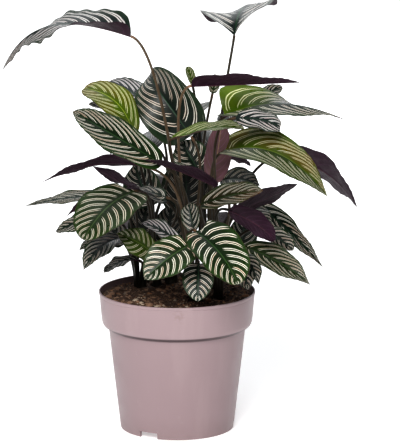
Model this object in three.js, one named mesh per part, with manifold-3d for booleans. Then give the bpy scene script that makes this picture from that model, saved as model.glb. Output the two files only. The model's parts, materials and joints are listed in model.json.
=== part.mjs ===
// A pinstripe calathea in its nursery pot, in millimetres, +Z up.
// The origin is on the ground under the middle of the pot; the side in the photograph faces -Y.
import * as THREE from "three";
import { mergeVertices } from "three/addons/utils/BufferGeometryUtils.js";
import Module from "manifold-3d";

const wasm = await Module();
wasm.setup();

// ---- Driving dimensions ------------------------------------------------------------------
const GAP = 0.3; // clearance between pieces that touch
const SIDES = 40; // facets round the pot and the soil

const RIM_RADIUS = 95;
const POT_HEIGHT = 170;
const FOOT_RADIUS = 69;
const WALL = 1.8;
const COLLAR = { tall: 33, taper: 0.1, lip: 8, overhang: 8.5 }; // lip: the rounded lower edge
const EDGE_ROUND = 0.8; // small roundings of the rim, the lip and the foot
const FLOOR_HEIGHT = 9; // underside of the pot's floor, above the ground
const NOTCH = { wide: 24, high: 7.5, count: 3, first: -30 }; // ways out for water, in the foot ring
const DRAIN = { radius: 6, ring: 38, count: 6 };

const SOIL_TOP = POT_HEIGHT - 6.5;
const SOIL_RINGS = [0.9, 0.72, 0.5, 0.25]; // rings of the uneven top, as shares of its radius
const SOIL_EDGE_DROP = 1;

const CROWN = { radius: 9, neck: 6.3, deep: 24, proud: 5, sides: 10 }; // where a shoot's stalks join
const STALK = { foot: 2.6, top: 1.5, sides: 5, steps: 6, ring: 4.5, reach: 45 };
const BLADE = { thick: 0.8, rib: 1.3, tip: 0.7, sweep: 0.35, waves: 2.5 };
const BLADE_ROWS = [0, 0.04, 0.11, 0.21, 0.34, 0.48, 0.62, 0.76, 0.89, 1];
const STUB = 0.04; // share of a blade over which its stalk runs out into the midrib
const JOINED_DEPTH = 1; // how far a blade without a gap of its own stands in its stalk

// ---- The plant ----------------------------------------------------------------------------
// A leaf: where its blade starts and ends, how wide it is and which way its upper side looks.
// rise lifts the midrib at its two thirds, fold raises the margins at the foot and at the tip,
// and turn rolls the tip, both in degrees. lean and neck bend the stalk; lobe draws back the foot.
function leaf(base, tip, wide, face, shape) {
  const stalk = { lean: [0, 0], neck: 0.22 };
  const outline = { widest: 0.42, drawn: 1.15, lobe: [0.2, 0.2] };
  const surface = { turn: 0, wave: 1.5, tone: "dark", joined: false };
  return { base, tip, wide, face, ...stalk, ...outline, ...surface, ...shape };
}

// The shoots: where each one's crown stands in the soil, and the leaves that grow from it.
const SHOOTS = {
  middle: {
    at: [22, 10],
    leaves: [
      leaf([-54, -44, 488], [-210, 20, 436], 58, [0, -0.2, 0.98], {
        rise: [38, 62], fold: [84, -36], turn: -8, lean: [-14, -22], neck: 0.1,
        wave: 4, widest: 0.32, drawn: 0.95, lobe: [0.5, 0.5],
      }),
      leaf([18, -70, 433], [145, -92, 441], 62, [0, 0.35, 0.93], {
        rise: [0, 0], fold: [14, 12], lean: [-18, -24], neck: 0.1, widest: 0.28, drawn: 0.9,
      }),
      leaf([17, 8, 358], [-33, 56, 425], 77, [-0.3, -0.85, 0.5], {
        rise: [14, 40], fold: [14, 26], turn: -24, widest: 0.42, drawn: 1.0, lobe: [0.35, 0.35],
      }),
      leaf([-17, -78, 341], [-121, -98, 407], 60, [0.31, -0.54, 0.78], {
        rise: [0, 2], fold: [8, 0], widest: 0.5, drawn: 0.8,
      }),
      leaf([-12, -16, 282], [-101, -14, 326], 35, [0, -0.5, 0.87], {
        rise: [-4, -5], fold: [12, 12], turn: 110, neck: 0.1, widest: 0.38, drawn: 1.1,
      }),
      leaf([-6, -78, 371], [79, -104, 388], 34, [0, -0.2, 0.97], {
        rise: [3, 12], fold: [24, 10], neck: 0.06, widest: 0.5, drawn: 0.6, tone: "young",
      }),
      leaf([25, 26, 313], [4, 34, 348], 44, [0, -0.92, 0.35], { rise: [6, 8], fold: [12, 8] }),
    ],
  },
  front: {
    at: [22, -26],
    leaves: [
      leaf([-32, -46, 330], [-161, -62, 315], 37, [0, 0.5, 0.85], {
        rise: [22, 14], fold: [12, 8], neck: 0.3, widest: 0.34, drawn: 1.1,
      }),
      leaf([-27, -80, 233], [-71, -90, 260], 36, [0.1, -0.8, 0.6], {
        rise: [6, 10], fold: [4, 4], wave: 2, tone: "young",
      }),
      leaf([15, -92, 246], [-37, -124, 212], 52, [-0.3, -0.8, 0.5], {
        rise: [8, 8], fold: [10, 4], widest: 0.4, drawn: 0.9, lobe: [0.35, 0.35],
      }),
      leaf([24, -100, 264], [72, -150, 212], 72, [0.5, -0.75, 0.5], {
        rise: [10, 14], fold: [14, 6], widest: 0.42, drawn: 0.7, lobe: [0.9, 0.1],
      }),
      leaf([21, -75, 259], [15, -58, 290], 24, [-0.3, -0.9, 0.3], {
        rise: [4, 4], fold: [20, 10], widest: 0.55,
      }),
      leaf([73, -82, 235], [97, -124, 206], 28, [0.35, -0.65, 0.6], { rise: [6, 8], fold: [12, 6] }),
      leaf([70, -62, 224], [85, -82, 190], 28, [0.1, -0.75, 0.6], {
        rise: [6, 8], fold: [12, 6], drawn: 0.8,
      }),
      leaf([26, -72, 219], [25, -96, 179], 38, [0, -0.75, 0.65], {
        rise: [8, 10], fold: [10, 6], drawn: 0.8,
      }),
    ],
  },
  left: {
    at: [-25, 54],
    leaves: [
      leaf([-51, -34, 364], [-110, -28, 423], 50, [0.5, -0.6, 0.6], {
        rise: [26, 31], fold: [8, 4], widest: 0.55, drawn: 0.5, tone: "young",
      }),
      leaf([-47, -10, 357], [-105, -22, 402], 34, [0.3, 0.1, 0.9], {
        rise: [12, 10], fold: [26, 14], turn: -20, widest: 0.5, drawn: 0.7,
      }),
      leaf([-51, -76, 307], [-108, -136, 262], 82, [-0.45, -0.65, 0.6], {
        rise: [14, 16], fold: [8, 0], widest: 0.4, drawn: 0.75, lobe: [0.2, 0.45],
      }),
      leaf([-63, -48, 245], [-110, -92, 216], 44, [-0.35, -0.4, 0.8], {
        rise: [14, 12], fold: [12, 6],
      }),
      leaf([6, -60, 240], [-42, -84, 271], 34, [0, -0.5, 0.85], {
        rise: [4, 6], fold: [14, 8], widest: 0.5,
      }),
      leaf([-13, -63, 298], [-62, -63, 309], 34, [0, -0.45, 0.88], {
        rise: [2, 4], fold: [8, 10], turn: 60, widest: 0.4, drawn: 0.9, joined: true,
      }),
    ],
  },
  back_left: {
    at: [-46, 46],
    leaves: [
      leaf([-9, 48, 363], [-83, 84, 412], 46, [0.3, -0.55, 0.75], {
        rise: [12, 12], fold: [12, 4], widest: 0.6, drawn: 0.7,
      }),
      leaf([-79, 20, 280], [-185, 14, 271], 26, [0, -0.4, 0.92], {
        rise: [10, 5], fold: [10, 6], widest: 0.3, drawn: 1.2,
      }),
      leaf([-71, -10, 292], [-133, -34, 268], 28, [-0.4, 0.6, 0.7], {
        rise: [8, 6], fold: [10, 10], widest: 0.35,
      }),
      leaf([-85, -24, 265], [-146, -6, 244], 34, [-0.1, -0.5, 0.85], {
        rise: [8, 4], fold: [10, 6], drawn: 0.8,
      }),
      leaf([-73, -16, 237], [-117, -40, 228], 28, [-0.1, -0.3, 0.95], { rise: [8, 8], fold: [12, 6] }),
      leaf([-47, -10, 209], [-87, -40, 201], 25, [0, -0.1, 0.95], {
        rise: [10, 5], fold: [16, 6], drawn: 0.7,
      }),
      leaf([-33, 36, 266], [-52, 42, 318], 48, [-0.2, -0.9, 0.3], { rise: [6, 6], fold: [14, 8] }),
      leaf([-65, 44, 218], [-87, 46, 244], 28, [0, -0.9, 0.3], {
        rise: [5, 5], fold: [8, 4], drawn: 0.8, joined: true,
      }),
    ],
  },
  right: {
    at: [50, -12],
    leaves: [
      leaf([48, -82, 314], [-40, -96, 350], 40, [0, 0.15, 1], {
        rise: [3, 3], fold: [30, 26], widest: 0.35,
      }),
      leaf([29, -100, 297], [101, -128, 319], 38, [0.1, -0.6, 0.8], {
        rise: [4, 6], fold: [14, 6], neck: 0.06, widest: 0.45, drawn: 0.8,
      }),
      leaf([71, -50, 277], [145, -42, 310], 36, [-0.2, 0.65, 0.7], {
        rise: [0, 0], fold: [10, 6], widest: 0.45,
      }),
      leaf([80, -54, 236], [158, -96, 199], 42, [0.2, -0.6, 0.75], { rise: [8, 10], fold: [14, 6] }),
      leaf([62, -82, 286], [116, -112, 257], 32, [-0.35, 0.7, 0.4], {
        rise: [8, 8], fold: [10, 10], widest: 0.5, drawn: 0.7,
      }),
      leaf([57, -56, 352], [177, -106, 308], 70, [0.1, -0.45, 0.87], {
        rise: [41, 38], fold: [20, 2], widest: 0.3, drawn: 0.95, lobe: [0.9, 0.2], tone: "young",
      }),
      leaf([70, -89, 398], [122, -92, 388], 34, [0, -0.55, 0.83], {
        rise: [6, 8], fold: [8, 0], widest: 0.5, drawn: 0.4,
      }),
      leaf([42, -20, 306], [54, -20, 381], 34, [0.35, 0.9, 0.1], {
        rise: [4, 4], fold: [14, 10], drawn: 0.8,
      }),
    ],
  },
  back_right: {
    at: [40, 40],
    leaves: [
      leaf([69, 25, 478], [89, 120, 501], 103, [-0.07, 0, 1], {
        rise: [20, 15], fold: [60, -22], turn: -24, lean: [-8, -10],
        wave: 4, widest: 0.42, lobe: [0.2, 0.2],
      }),
      leaf([19, 56, 411], [12, 52, 435], 14, [0.3, -0.95, 0.2], {
        rise: [2, 2], fold: [52, 36], wave: 0, widest: 0.6, drawn: 0.5, tone: "young",
      }),
      leaf([43, 24, 408], [48, 30, 429], 15, [0, -0.9, 0.4], {
        rise: [4, 4], fold: [30, 10], lean: [-24, 4], neck: 0.22, widest: 0.55, drawn: 0.5,
      }),
      leaf([96, 10, 274], [177, -6, 199], 36, [0.55, -0.55, 0.6], {
        rise: [8, 4], fold: [8, 6], widest: 0.26,
      }),
      leaf([76, -14, 272], [114, -38, 261], 34, [0, -0.2, 0.95], { rise: [8, 6], fold: [14, 8] }),
      leaf([102, -20, 249], [139, -44, 229], 32, [0.2, -0.5, 0.8], {
        rise: [4, 4], fold: [14, 6], widest: 0.5, drawn: 0.8,
      }),
      leaf([58, -14, 386], [204, -50, 387], 76, [0, -0.55, 0.84], {
        rise: [35, 31], fold: [50, -36], turn: -44, widest: 0.12,
        drawn: 1.6, lobe: [0.5, 0.1], tone: "young",
      }),
      leaf([131, 22, 330], [216, -40, 280], 68, [0.35, 0.6, 0.7], { rise: [19, 16], fold: [10, 6] }),
      leaf([59, 36, 325], [90, 44, 314], 22, [0.1, 0.5, 0.8], { rise: [4, 4], fold: [14, 10] }),
      leaf([54, 4, 305], [100, -10, 301], 38, [0, -0.5, 0.85], { rise: [7, 7], fold: [14, 6] }),
      leaf([77, 52, 205], [84, 56, 252], 36, [0, -0.95, 0.2], {
        rise: [6, 6], fold: [8, 4], drawn: 0.8, joined: true,
      }),
      leaf([76, 34, 383], [127, 40, 413], 24, [0, -0.55, 0.83], {
        rise: [4, 4], fold: [8, 0], widest: 0.6, drawn: 0.6,
      }),
    ],
  },
  back: {
    at: [-8, 68],
    leaves: [
      leaf([-25, 78, 330], [-84, 150, 308], 62, [0, -0.1, 1], { rise: [20, 14], fold: [18, 8] }),
      leaf([26, 76, 326], [92, 150, 318], 62, [0, -0.1, 1], { rise: [20, 14], fold: [18, 8] }),
      leaf([-8, 98, 285], [-26, 162, 258], 56, [0, 0.1, 1], { rise: [18, 12], fold: [18, 8] }),
      leaf([10, 94, 362], [16, 162, 362], 60, [0, -0.1, 1], { rise: [18, 12], fold: [18, 8] }),
      leaf([-48, 82, 262], [-118, 124, 236], 48, [-0.1, 0.1, 1], {
        rise: [16, 12], fold: [18, 8], joined: true,
      }),
      leaf([36, 92, 268], [112, 128, 240], 48, [0.1, 0.1, 1], {
        rise: [16, 12], fold: [18, 8], joined: true,
      }),
      leaf([22, 104, 236], [58, 160, 212], 48, [0, 0.1, 1], {
        rise: [16, 10], fold: [18, 8], joined: true,
      }),
      leaf([-30, 100, 228], [-74, 158, 206], 46, [0, 0.1, 1], {
        rise: [14, 10], fold: [18, 8], joined: true,
      }),
      leaf([-30, 80, 366], [-80, 130, 362], 54, [0, -0.1, 1], {
        rise: [18, 12], fold: [18, 8], joined: true,
      }),
      leaf([56, 76, 356], [112, 118, 350], 54, [0, -0.1, 1], { rise: [16, 12], fold: [18, 8] }),
      leaf([11, 65, 250], [11, 67, 320], 62, [0, -0.95, 0.2], {
        rise: [6, 6], fold: [8, 4], drawn: 0.7, joined: true,
      }),
      leaf([-43, 61, 211], [-38, 63, 263], 40, [0, -0.95, 0.2], {
        rise: [5, 5], fold: [8, 4], drawn: 0.8, joined: true,
      }),
      leaf([-12, 60, 206], [-8, 62, 263], 40, [0, -0.95, 0.2], {
        rise: [5, 5], fold: [8, 4], drawn: 0.8, joined: true,
      }),
    ],
  },
};

// ---- Small helpers -----------------------------------------------------------------------
const V = (x, y, z) => new THREE.Vector3(x, y, z);
const radians = THREE.MathUtils.degToRad;
const mix = THREE.MathUtils.lerp;

function solidOf(geometry) {
  const bare = geometry.index ? geometry.toNonIndexed() : geometry.clone();
  bare.deleteAttribute("normal");
  bare.deleteAttribute("uv");
  const merged = mergeVertices(bare, 1e-4);
  return new wasm.Manifold(new wasm.Mesh({
    numProp: 3,
    vertProperties: merged.attributes.position.array,
    triVerts: new Uint32Array(merged.index.array),
  }));
}

function geometryOf(solid) {
  const mesh = solid.getMesh();
  return new THREE.BufferGeometry()
    .setAttribute("position", new THREE.BufferAttribute(mesh.vertProperties, mesh.numProp))
    .setIndex(new THREE.BufferAttribute(mesh.triVerts, 1));
}

// A triangle mesh from rings of points, all rings with the same number of points.
function meshOf(rings, faces) {
  const points = rings.flat().flatMap((p) => [p.x, p.y, p.z]);
  return new THREE.BufferGeometry()
    .setAttribute("position", new THREE.Float32BufferAttribute(points, 3))
    .setIndex(faces);
}

// A lathe turns its profile about +Y in three.js, so it is stood up to turn about +Z.
function turned(profile) {
  const points = profile.map(([r, z]) => new THREE.Vector2(r, z));
  return new THREE.LatheGeometry(points, SIDES).rotateX(Math.PI / 2);
}

// A round bar along +Z with its lower end at the given height.
function bar(low, high, tall, sides, bottom) {
  return new THREE.CylinderGeometry(high, low, tall, sides)
    .rotateX(Math.PI / 2)
    .translate(0, 0, bottom + tall / 2);
}

// Takes the same piece out of a solid at even angles round +Z.
function cutRound(solid, piece, count, first) {
  let left = solid;
  for (let i = 0; i < count; i++) {
    const turn = radians(first + (i * 360) / count);
    left = left.subtract(solidOf(piece.clone().rotateZ(turn)));
  }
  return left;
}

// ---- Pot ---------------------------------------------------------------------------------
const lipTop = POT_HEIGHT - COLLAR.tall;
const lipLow = lipTop - COLLAR.lip;
const collarRadius = RIM_RADIUS - COLLAR.taper * COLLAR.tall;
const stepRadius = collarRadius - COLLAR.overhang;
const footInner = FOOT_RADIUS - 2 * WALL;

// The pot's inner face from the floor up, set in by an offset so that the soil can follow it.
function innerFace(offset) {
  return [
    [FOOT_RADIUS - WALL + EDGE_ROUND - offset, FLOOR_HEIGHT + WALL + offset],
    [stepRadius - WALL - offset, lipLow - EDGE_ROUND],
    [collarRadius - WALL - offset, lipTop + EDGE_ROUND],
    [RIM_RADIUS - WALL - offset, POT_HEIGHT],
  ];
}

function makePot() {
  const shell = solidOf(turned([
    [0, FLOOR_HEIGHT],
    [footInner, FLOOR_HEIGHT],
    [footInner, 0],
    [FOOT_RADIUS - EDGE_ROUND, 0],
    [FOOT_RADIUS, 2 * EDGE_ROUND],
    [stepRadius, lipLow - 3],
    [collarRadius - 2.5, lipLow],
    [collarRadius - EDGE_ROUND, lipTop - COLLAR.lip / 2],
    [collarRadius, lipTop],
    [RIM_RADIUS, POT_HEIGHT - EDGE_ROUND],
    [RIM_RADIUS - EDGE_ROUND, POT_HEIGHT],
    ...innerFace(0).toReversed(),
    [0, FLOOR_HEIGHT + WALL],
  ]));
  const notch = new THREE.BoxGeometry(NOTCH.wide, 12, 2 * NOTCH.high).translate(0, -FOOT_RADIUS + 2, 0);
  const drain = bar(DRAIN.radius, DRAIN.radius, 4 * WALL, 8, FLOOR_HEIGHT - WALL);
  const notched = cutRound(shell, notch, NOTCH.count, NOTCH.first);
  return geometryOf(cutRound(notched, drain.translate(DRAIN.ring, 0, 0), DRAIN.count, 0));
}

// ---- Soil --------------------------------------------------------------------------------
// Low crumbly relief: a sum of two ripples that don't repeat.
function relief(x, y) {
  const coarse = Math.sin(0.19 * x + 1.3) * Math.cos(0.23 * y);
  const fine = Math.sin(0.41 * x - 0.37 * y);
  return 1.4 * coarse + 0.9 * fine;
}

function makeSoil() {
  const [low, step, lip, rim] = innerFace(GAP);
  const edgeHeight = SOIL_TOP - SOIL_EDGE_DROP;
  const edge = mix(lip[0], rim[0], (edgeHeight - lip[1]) / (rim[1] - lip[1]));
  const body = turned([
    [0, low[1]],
    low,
    step,
    lip,
    [edge, edgeHeight],
    ...SOIL_RINGS.map((share) => [edge * share, SOIL_TOP]),
    [0, SOIL_TOP],
  ]);
  const p = body.attributes.position;
  for (let i = 0; i < p.count; i++) {
    if (p.getZ(i) > SOIL_TOP - SOIL_EDGE_DROP / 2) {
      p.setZ(i, SOIL_TOP + relief(p.getX(i), p.getY(i)));
    }
  }
  let soil = solidOf(body);
  const r = CROWN.radius + GAP;
  const hole = bar(r, r, 2 * CROWN.deep, CROWN.sides, SOIL_TOP - CROWN.deep - GAP);
  for (const { at } of Object.values(SHOOTS)) {
    soil = soil.subtract(solidOf(hole.clone().translate(...at, 0)));
  }
  return geometryOf(soil);
}

// ---- Leaves ------------------------------------------------------------------------------
// The midrib of a blade: a curve from the stalk's top to the tip that rises to the upper side.
function midribOf(blade) {
  const from = V(...blade.base);
  const to = V(...blade.tip);
  const along = to.clone().sub(from);
  const third = along.clone().divideScalar(3);
  along.normalize();
  const up = V(...blade.face);
  up.addScaledVector(along, -up.dot(along)).normalize();
  const bend = (i) => from.clone().addScaledVector(third, i + 1).addScaledVector(up, blade.rise[i]);
  const curve = new THREE.CubicBezierCurve3(from, bend(0), bend(1), to);
  return { curve, side: along.clone().cross(up) };
}

// Half the blade's width along the midrib: a rounded foot, then a drawn-out tip.
function halfWidth(blade, u) {
  const half = blade.wide / 2;
  if (u < blade.widest) {
    const t = 1 - u / blade.widest;
    return half * Math.sqrt(Math.max(0, 1 - t ** 2.2));
  }
  const t = (u - blade.widest) / (1 - blade.widest);
  return half * Math.cos((t * Math.PI) / 2) ** blade.drawn;
}

// A point of the blade's middle surface, and the direction that its upper side faces there.
// u runs from the stalk to the tip; v is -1 and 1 on the margins and 0 on the midrib.
function bladePoint(blade, midrib, u, v) {
  const at = midrib.curve.getPoint(u);
  const ahead = midrib.curve.getTangent(u);
  const side = midrib.side.clone().addScaledVector(ahead, -midrib.side.dot(ahead)).normalize();
  side.applyAxisAngle(ahead, radians(blade.turn * u));
  const up = side.clone().cross(ahead);
  const least = u < 0.5 ? STALK.top : BLADE.tip / 2;
  const reach = Math.max(halfWidth(blade, u), least);
  const fold = radians(mix(blade.fold[1], blade.fold[0], (1 - u) ** 2));
  const ripple = Math.sin(2 * Math.PI * BLADE.waves * u + (v > 0 ? 0.6 : 2.4));
  const waved = v * v * blade.wave * ripple * Math.sin(Math.PI * u);
  const lobe = blade.lobe[v > 0 ? 1 : 0] * (1 - u) ** 2; // the foot's round lobes reach back
  const swept = (BLADE.sweep * u - lobe) * Math.min(1, 12 * u);
  at.addScaledVector(side, reach * v * Math.cos(fold));
  at.addScaledVector(up, reach * Math.abs(v) * Math.sin(fold) + waved);
  at.addScaledVector(ahead, reach * Math.abs(v) * swept);
  return { at, up };
}

// A blade's rings run across its upper face and back along its underside.
function makeBlade(blade) {
  const midrib = midribOf(blade);
  const set = blade.joined ? -JOINED_DEPTH : GAP / 2;
  const shift = midrib.curve.getTangent(0).multiplyScalar(set);
  const half = BLADE.thick / 2;
  const rings = BLADE_ROWS.map((u) => {
    const row = [-1, 0, 1].map((v) => bladePoint(blade, midrib, u, v));
    const over = row.map(({ at, up }, j) => {
      const lift = u < STUB && j === 1 ? STALK.top : half;
      return at.clone().add(shift).addScaledVector(up, lift);
    });
    const under = row.map(({ at, up }, j) => {
      const rib = j === 1 ? BLADE.rib * (1 - u) : 0;
      return at.clone().add(shift).addScaledVector(up, -half - rib);
    });
    return [...over, ...under.reverse()];
  });
  return meshOf(rings, bladeFaces(rings.length));
}

// The same diagonals above and below, so that the two faces of a waved blade never cross.
function bladeFaces(rows) {
  const faces = [];
  const over = ([i, j]) => i * 6 + j;
  const under = ([i, j]) => i * 6 + 5 - j;
  for (let i = 0; i + 1 < rows; i++) {
    for (const j of [0, 1]) {
      const [a, b, c, d] = [[i, j], [i, j + 1], [i + 1, j + 1], [i + 1, j]];
      const pair = j === 0 ? [[a, b, c], [a, c, d]] : [[a, b, d], [b, c, d]];
      for (const [p, q, r] of pair) {
        faces.push(over(p), over(q), over(r), under(p), under(r), under(q));
      }
    }
    for (const j of [0, 2]) {
      const [a, b] = [[i, j], [i + 1, j]];
      const edge = [over(a), over(b), under(b), over(a), under(b), under(a)];
      faces.push(...(j === 0 ? edge : edge.reverse()));
    }
  }
  for (const i of [0, rows - 1]) {
    for (const j of [0, 1]) {
      const [a, b] = [[i, j], [i, j + 1]];
      const end = [over(a), over(b), under(b), over(a), under(b), under(a)];
      faces.push(...(i === 0 ? end.reverse() : end));
    }
  }
  return faces;
}

// ---- Stalks ------------------------------------------------------------------------------
// A stalk leaves its crown upright and runs into the direction in which its blade starts.
function stalkCurve([x, y], blade) {
  const start = midribOf(blade).curve.getTangent(0);
  const end = V(...blade.base).addScaledVector(start, -GAP / 2);
  const out = V(end.x - x, end.y - y, 0);
  const foot = V(x, y, SOIL_TOP).addScaledVector(out.clone().normalize(), STALK.ring);
  const first = foot.clone().add(V(...blade.lean, 0)).addScaledVector(out, 0.12);
  first.z += 0.55 * (end.z - SOIL_TOP);
  const neck = Math.min(STALK.reach, blade.neck * end.distanceTo(foot));
  const last = end.clone().addScaledVector(start, -neck);
  return new THREE.CubicBezierCurve3(foot, first, last, end);
}

function makeStalk(crown, blade) {
  const curve = stalkCurve(crown, blade);
  const { steps, sides } = STALK;
  const rings = [];
  for (let i = 0; i <= steps; i++) {
    const u = i / steps;
    const ahead = curve.getTangent(u);
    const side = V(0, 1, 0).cross(ahead).normalize();
    const up = ahead.clone().cross(side);
    const r = mix(STALK.foot, STALK.top, Math.sqrt(u));
    const ring = [];
    for (let k = 0; k < sides; k++) {
      const turn = (2 * Math.PI * k) / sides;
      const p = curve.getPoint(u).addScaledVector(side, r * Math.cos(turn));
      ring.push(p.addScaledVector(up, r * Math.sin(turn)));
    }
    rings.push(ring);
  }
  return meshOf(rings, tubeFaces(steps + 1, sides));
}

// A closed skin round rings of points, with a flat end on the first and on the last.
function tubeFaces(rows, n) {
  const faces = [];
  for (let i = 0; i + 1 < rows; i++) {
    for (let j = 0; j < n; j++) {
      const a = i * n + j;
      const b = i * n + ((j + 1) % n);
      faces.push(a, b, b + n, a, b + n, a + n);
    }
  }
  const last = (rows - 1) * n;
  for (let j = 1; j + 1 < n; j++) {
    faces.push(0, j + 1, j, last, last + j, last + j + 1);
  }
  return faces;
}

// All stalks of one shoot grow together in its crown, which stands in a hole in the soil.
function makeShoot({ at, leaves }) {
  const { radius, neck, deep, proud, sides } = CROWN;
  const crown = bar(radius, neck, deep + proud, sides, SOIL_TOP - deep);
  let shoot = solidOf(crown.translate(...at, 0));
  for (const blade of leaves) {
    shoot = shoot.add(solidOf(makeStalk(at, blade)));
    if (blade.joined) {
      shoot = shoot.add(solidOf(makeBlade(blade)));
    }
  }
  return geometryOf(shoot);
}

// ---- Materials ---------------------------------------------------------------------------
const plastic = new THREE.MeshStandardMaterial({ color: 0xb09b96, roughness: 0.5 });
const compost = new THREE.MeshStandardMaterial({ color: 0x3a2a20, roughness: 1 });
const stem = new THREE.MeshStandardMaterial({ color: 0x6b5a3c, roughness: 0.6 });
const foliage = {
  dark: new THREE.MeshStandardMaterial({ color: 0x1f3a26, roughness: 0.4 }),
  young: new THREE.MeshStandardMaterial({ color: 0x6d9427, roughness: 0.45 }),
};

// ---- Assembly ----------------------------------------------------------------------------
const plant = new THREE.Group();
function place(name, geometry, material) {
  const mesh = new THREE.Mesh(geometry, material);
  mesh.name = name;
  plant.add(mesh);
}

place("pot", makePot(), plastic);
place("soil", makeSoil(), compost);
for (const [name, shoot] of Object.entries(SHOOTS)) {
  place(`stalks_${name}`, makeShoot(shoot), stem);
}
const blades = Object.values(SHOOTS).flatMap((shoot) => shoot.leaves);
blades.filter((blade) => !blade.joined).forEach((blade, i) => {
  const number = String(i + 1).padStart(2, "0");
  place(`leaf_${number}`, makeBlade(blade), foliage[blade.tone]);
});

export default plant;
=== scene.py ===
# %% [markdown]
# # A potted pinstripe calathea
#
# The plant has oval leaves with paired pale stripes above and purple below, each on a long thin
# stalk, in a plain nursery pot. The solids come first, as a fixed frame: every finer piece below
# stands exactly where its solid stands, so nothing has to be fitted by eye afterwards.

# %% Load the frame
import json
import math
import random
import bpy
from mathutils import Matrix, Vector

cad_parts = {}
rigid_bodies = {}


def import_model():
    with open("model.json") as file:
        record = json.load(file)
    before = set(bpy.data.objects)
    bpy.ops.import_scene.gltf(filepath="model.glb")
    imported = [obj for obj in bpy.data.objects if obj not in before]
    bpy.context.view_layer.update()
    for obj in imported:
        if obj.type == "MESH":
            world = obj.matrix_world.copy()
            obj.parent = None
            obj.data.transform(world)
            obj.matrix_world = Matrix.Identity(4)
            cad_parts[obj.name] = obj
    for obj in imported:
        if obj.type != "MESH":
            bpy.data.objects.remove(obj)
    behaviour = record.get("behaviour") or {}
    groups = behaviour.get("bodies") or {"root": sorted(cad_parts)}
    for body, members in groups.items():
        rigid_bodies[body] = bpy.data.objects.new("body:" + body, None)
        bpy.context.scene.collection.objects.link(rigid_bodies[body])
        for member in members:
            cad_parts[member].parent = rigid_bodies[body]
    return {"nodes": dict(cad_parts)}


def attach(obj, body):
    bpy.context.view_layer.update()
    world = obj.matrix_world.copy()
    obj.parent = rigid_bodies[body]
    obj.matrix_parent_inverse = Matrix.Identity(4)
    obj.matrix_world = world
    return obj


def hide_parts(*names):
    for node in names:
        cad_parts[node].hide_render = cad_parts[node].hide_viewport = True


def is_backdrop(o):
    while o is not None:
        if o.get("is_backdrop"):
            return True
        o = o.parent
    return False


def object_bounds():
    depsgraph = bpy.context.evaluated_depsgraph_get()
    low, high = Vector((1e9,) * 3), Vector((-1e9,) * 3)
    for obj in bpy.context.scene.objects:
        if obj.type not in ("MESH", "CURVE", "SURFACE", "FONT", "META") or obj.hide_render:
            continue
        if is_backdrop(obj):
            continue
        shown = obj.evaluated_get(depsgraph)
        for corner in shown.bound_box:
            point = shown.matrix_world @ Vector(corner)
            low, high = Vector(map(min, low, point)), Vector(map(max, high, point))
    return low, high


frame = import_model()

from types import SimpleNamespace

import bpy
import numpy as np
from mathutils import Vector, noise

MM = 0.001
cad_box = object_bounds()
print("nodes:", len(frame["nodes"]), "box:", [round(side, 3) for side in cad_box[1] - cad_box[0]])

# %% [markdown]
# ## The picture
#
# The photograph was taken from far away with a long lens, looking down by about twelve degrees,
# so the pot's rim shows as a flat ellipse. A camera is easiest to match when its place is known
# first: the pot's outline gave the distance and the tilt, and the lens then follows from how
# large the pot is in the picture.

# %% Camera
CAMERA_PLACE = Vector((0.0278, -4.0, 1.11556))
CAMERA_TILT = 12.128  # degrees below the horizon
LENS = 276.54  # mm
SENSOR = 36  # mm, for the picture's longer side, its height

camera = bpy.data.objects.new("camera", bpy.data.cameras.new("camera"))
camera.data.lens = LENS
camera.data.sensor_width = SENSOR
camera.location = CAMERA_PLACE
camera.rotation_euler = (math.radians(90 - CAMERA_TILT), 0, 0)
bpy.context.collection.objects.link(camera)
bpy.context.scene.camera = camera
print("camera is", round(CAMERA_PLACE.length, 2), "m from the pot's foot")

# %% [markdown]
# ## Soft studio light
#
# The picture has a white ground, a large soft light from the front and a little to the left,
# and hardly any shadow. The leaves are nearly black where they look towards the dark front of
# the studio, and pale where they lie flat and mirror its bright back. So the world is almost
# dark, the key light stands in front, a large weaker one stands behind for the sheen, and a
# small one overhead softens the two. The Standard view keeps white white, where a filmic one
# would turn it grey.

# %% Lights and floor
def area_light(name, place, target, size, watts, colour):
    lamp = bpy.data.objects.new(name, bpy.data.lights.new(name, "AREA"))
    lamp.data.size = size
    lamp.data.energy = watts
    lamp.data.color = colour
    lamp.location = place
    lamp.rotation_euler = (Vector(target) - Vector(place)).to_track_quat("-Z", "Y").to_euler()
    bpy.context.collection.objects.link(lamp)
    return lamp


area_light("key_light", (-0.5, -2.7, 2.1), (0, 0, 0.25), 1.4, 94, (1.0, 0.98, 0.97))
area_light("top_light", (-0.3, 0.5, 2.4), (0, 0, 0.3), 1.6, 14, (0.97, 0.98, 1.0))
area_light("back_light", (0, 2.4, 1.9), (0, 0, 0.3), 2.6, 34, (0.96, 0.98, 1.0))

world = bpy.data.worlds.new("studio")
world.use_nodes = True
background = world.node_tree.nodes["Background"].inputs
background["Color"].default_value = (0.97, 0.98, 1.0, 1)
background["Strength"].default_value = 0.04
bpy.context.scene.world = world
bpy.context.scene.view_settings.view_transform = "Standard"
bpy.context.scene.view_settings.look = "Medium High Contrast"

FLOOR_SIZE = 40
half = FLOOR_SIZE / 2
floor_mesh = bpy.data.meshes.new("floor")
corners = [(-half, -half, 0), (half, -half, 0), (half, half, 0), (-half, half, 0)]
floor_mesh.from_pydata(corners, [], [(0, 1, 2, 3)])
floor = bpy.data.objects.new("floor", floor_mesh)
bpy.context.collection.objects.link(floor)
floor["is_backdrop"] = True

# %% [markdown]
# ## A short way to write materials
#
# A procedural material is a small calculation: coordinates go in, colour, gloss and relief come
# out. Written node by node it is long, so a `Finish` keeps one material's tree and offers the few
# steps that all finishes here share: read, compute, mix, and turn a height into relief.

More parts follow.
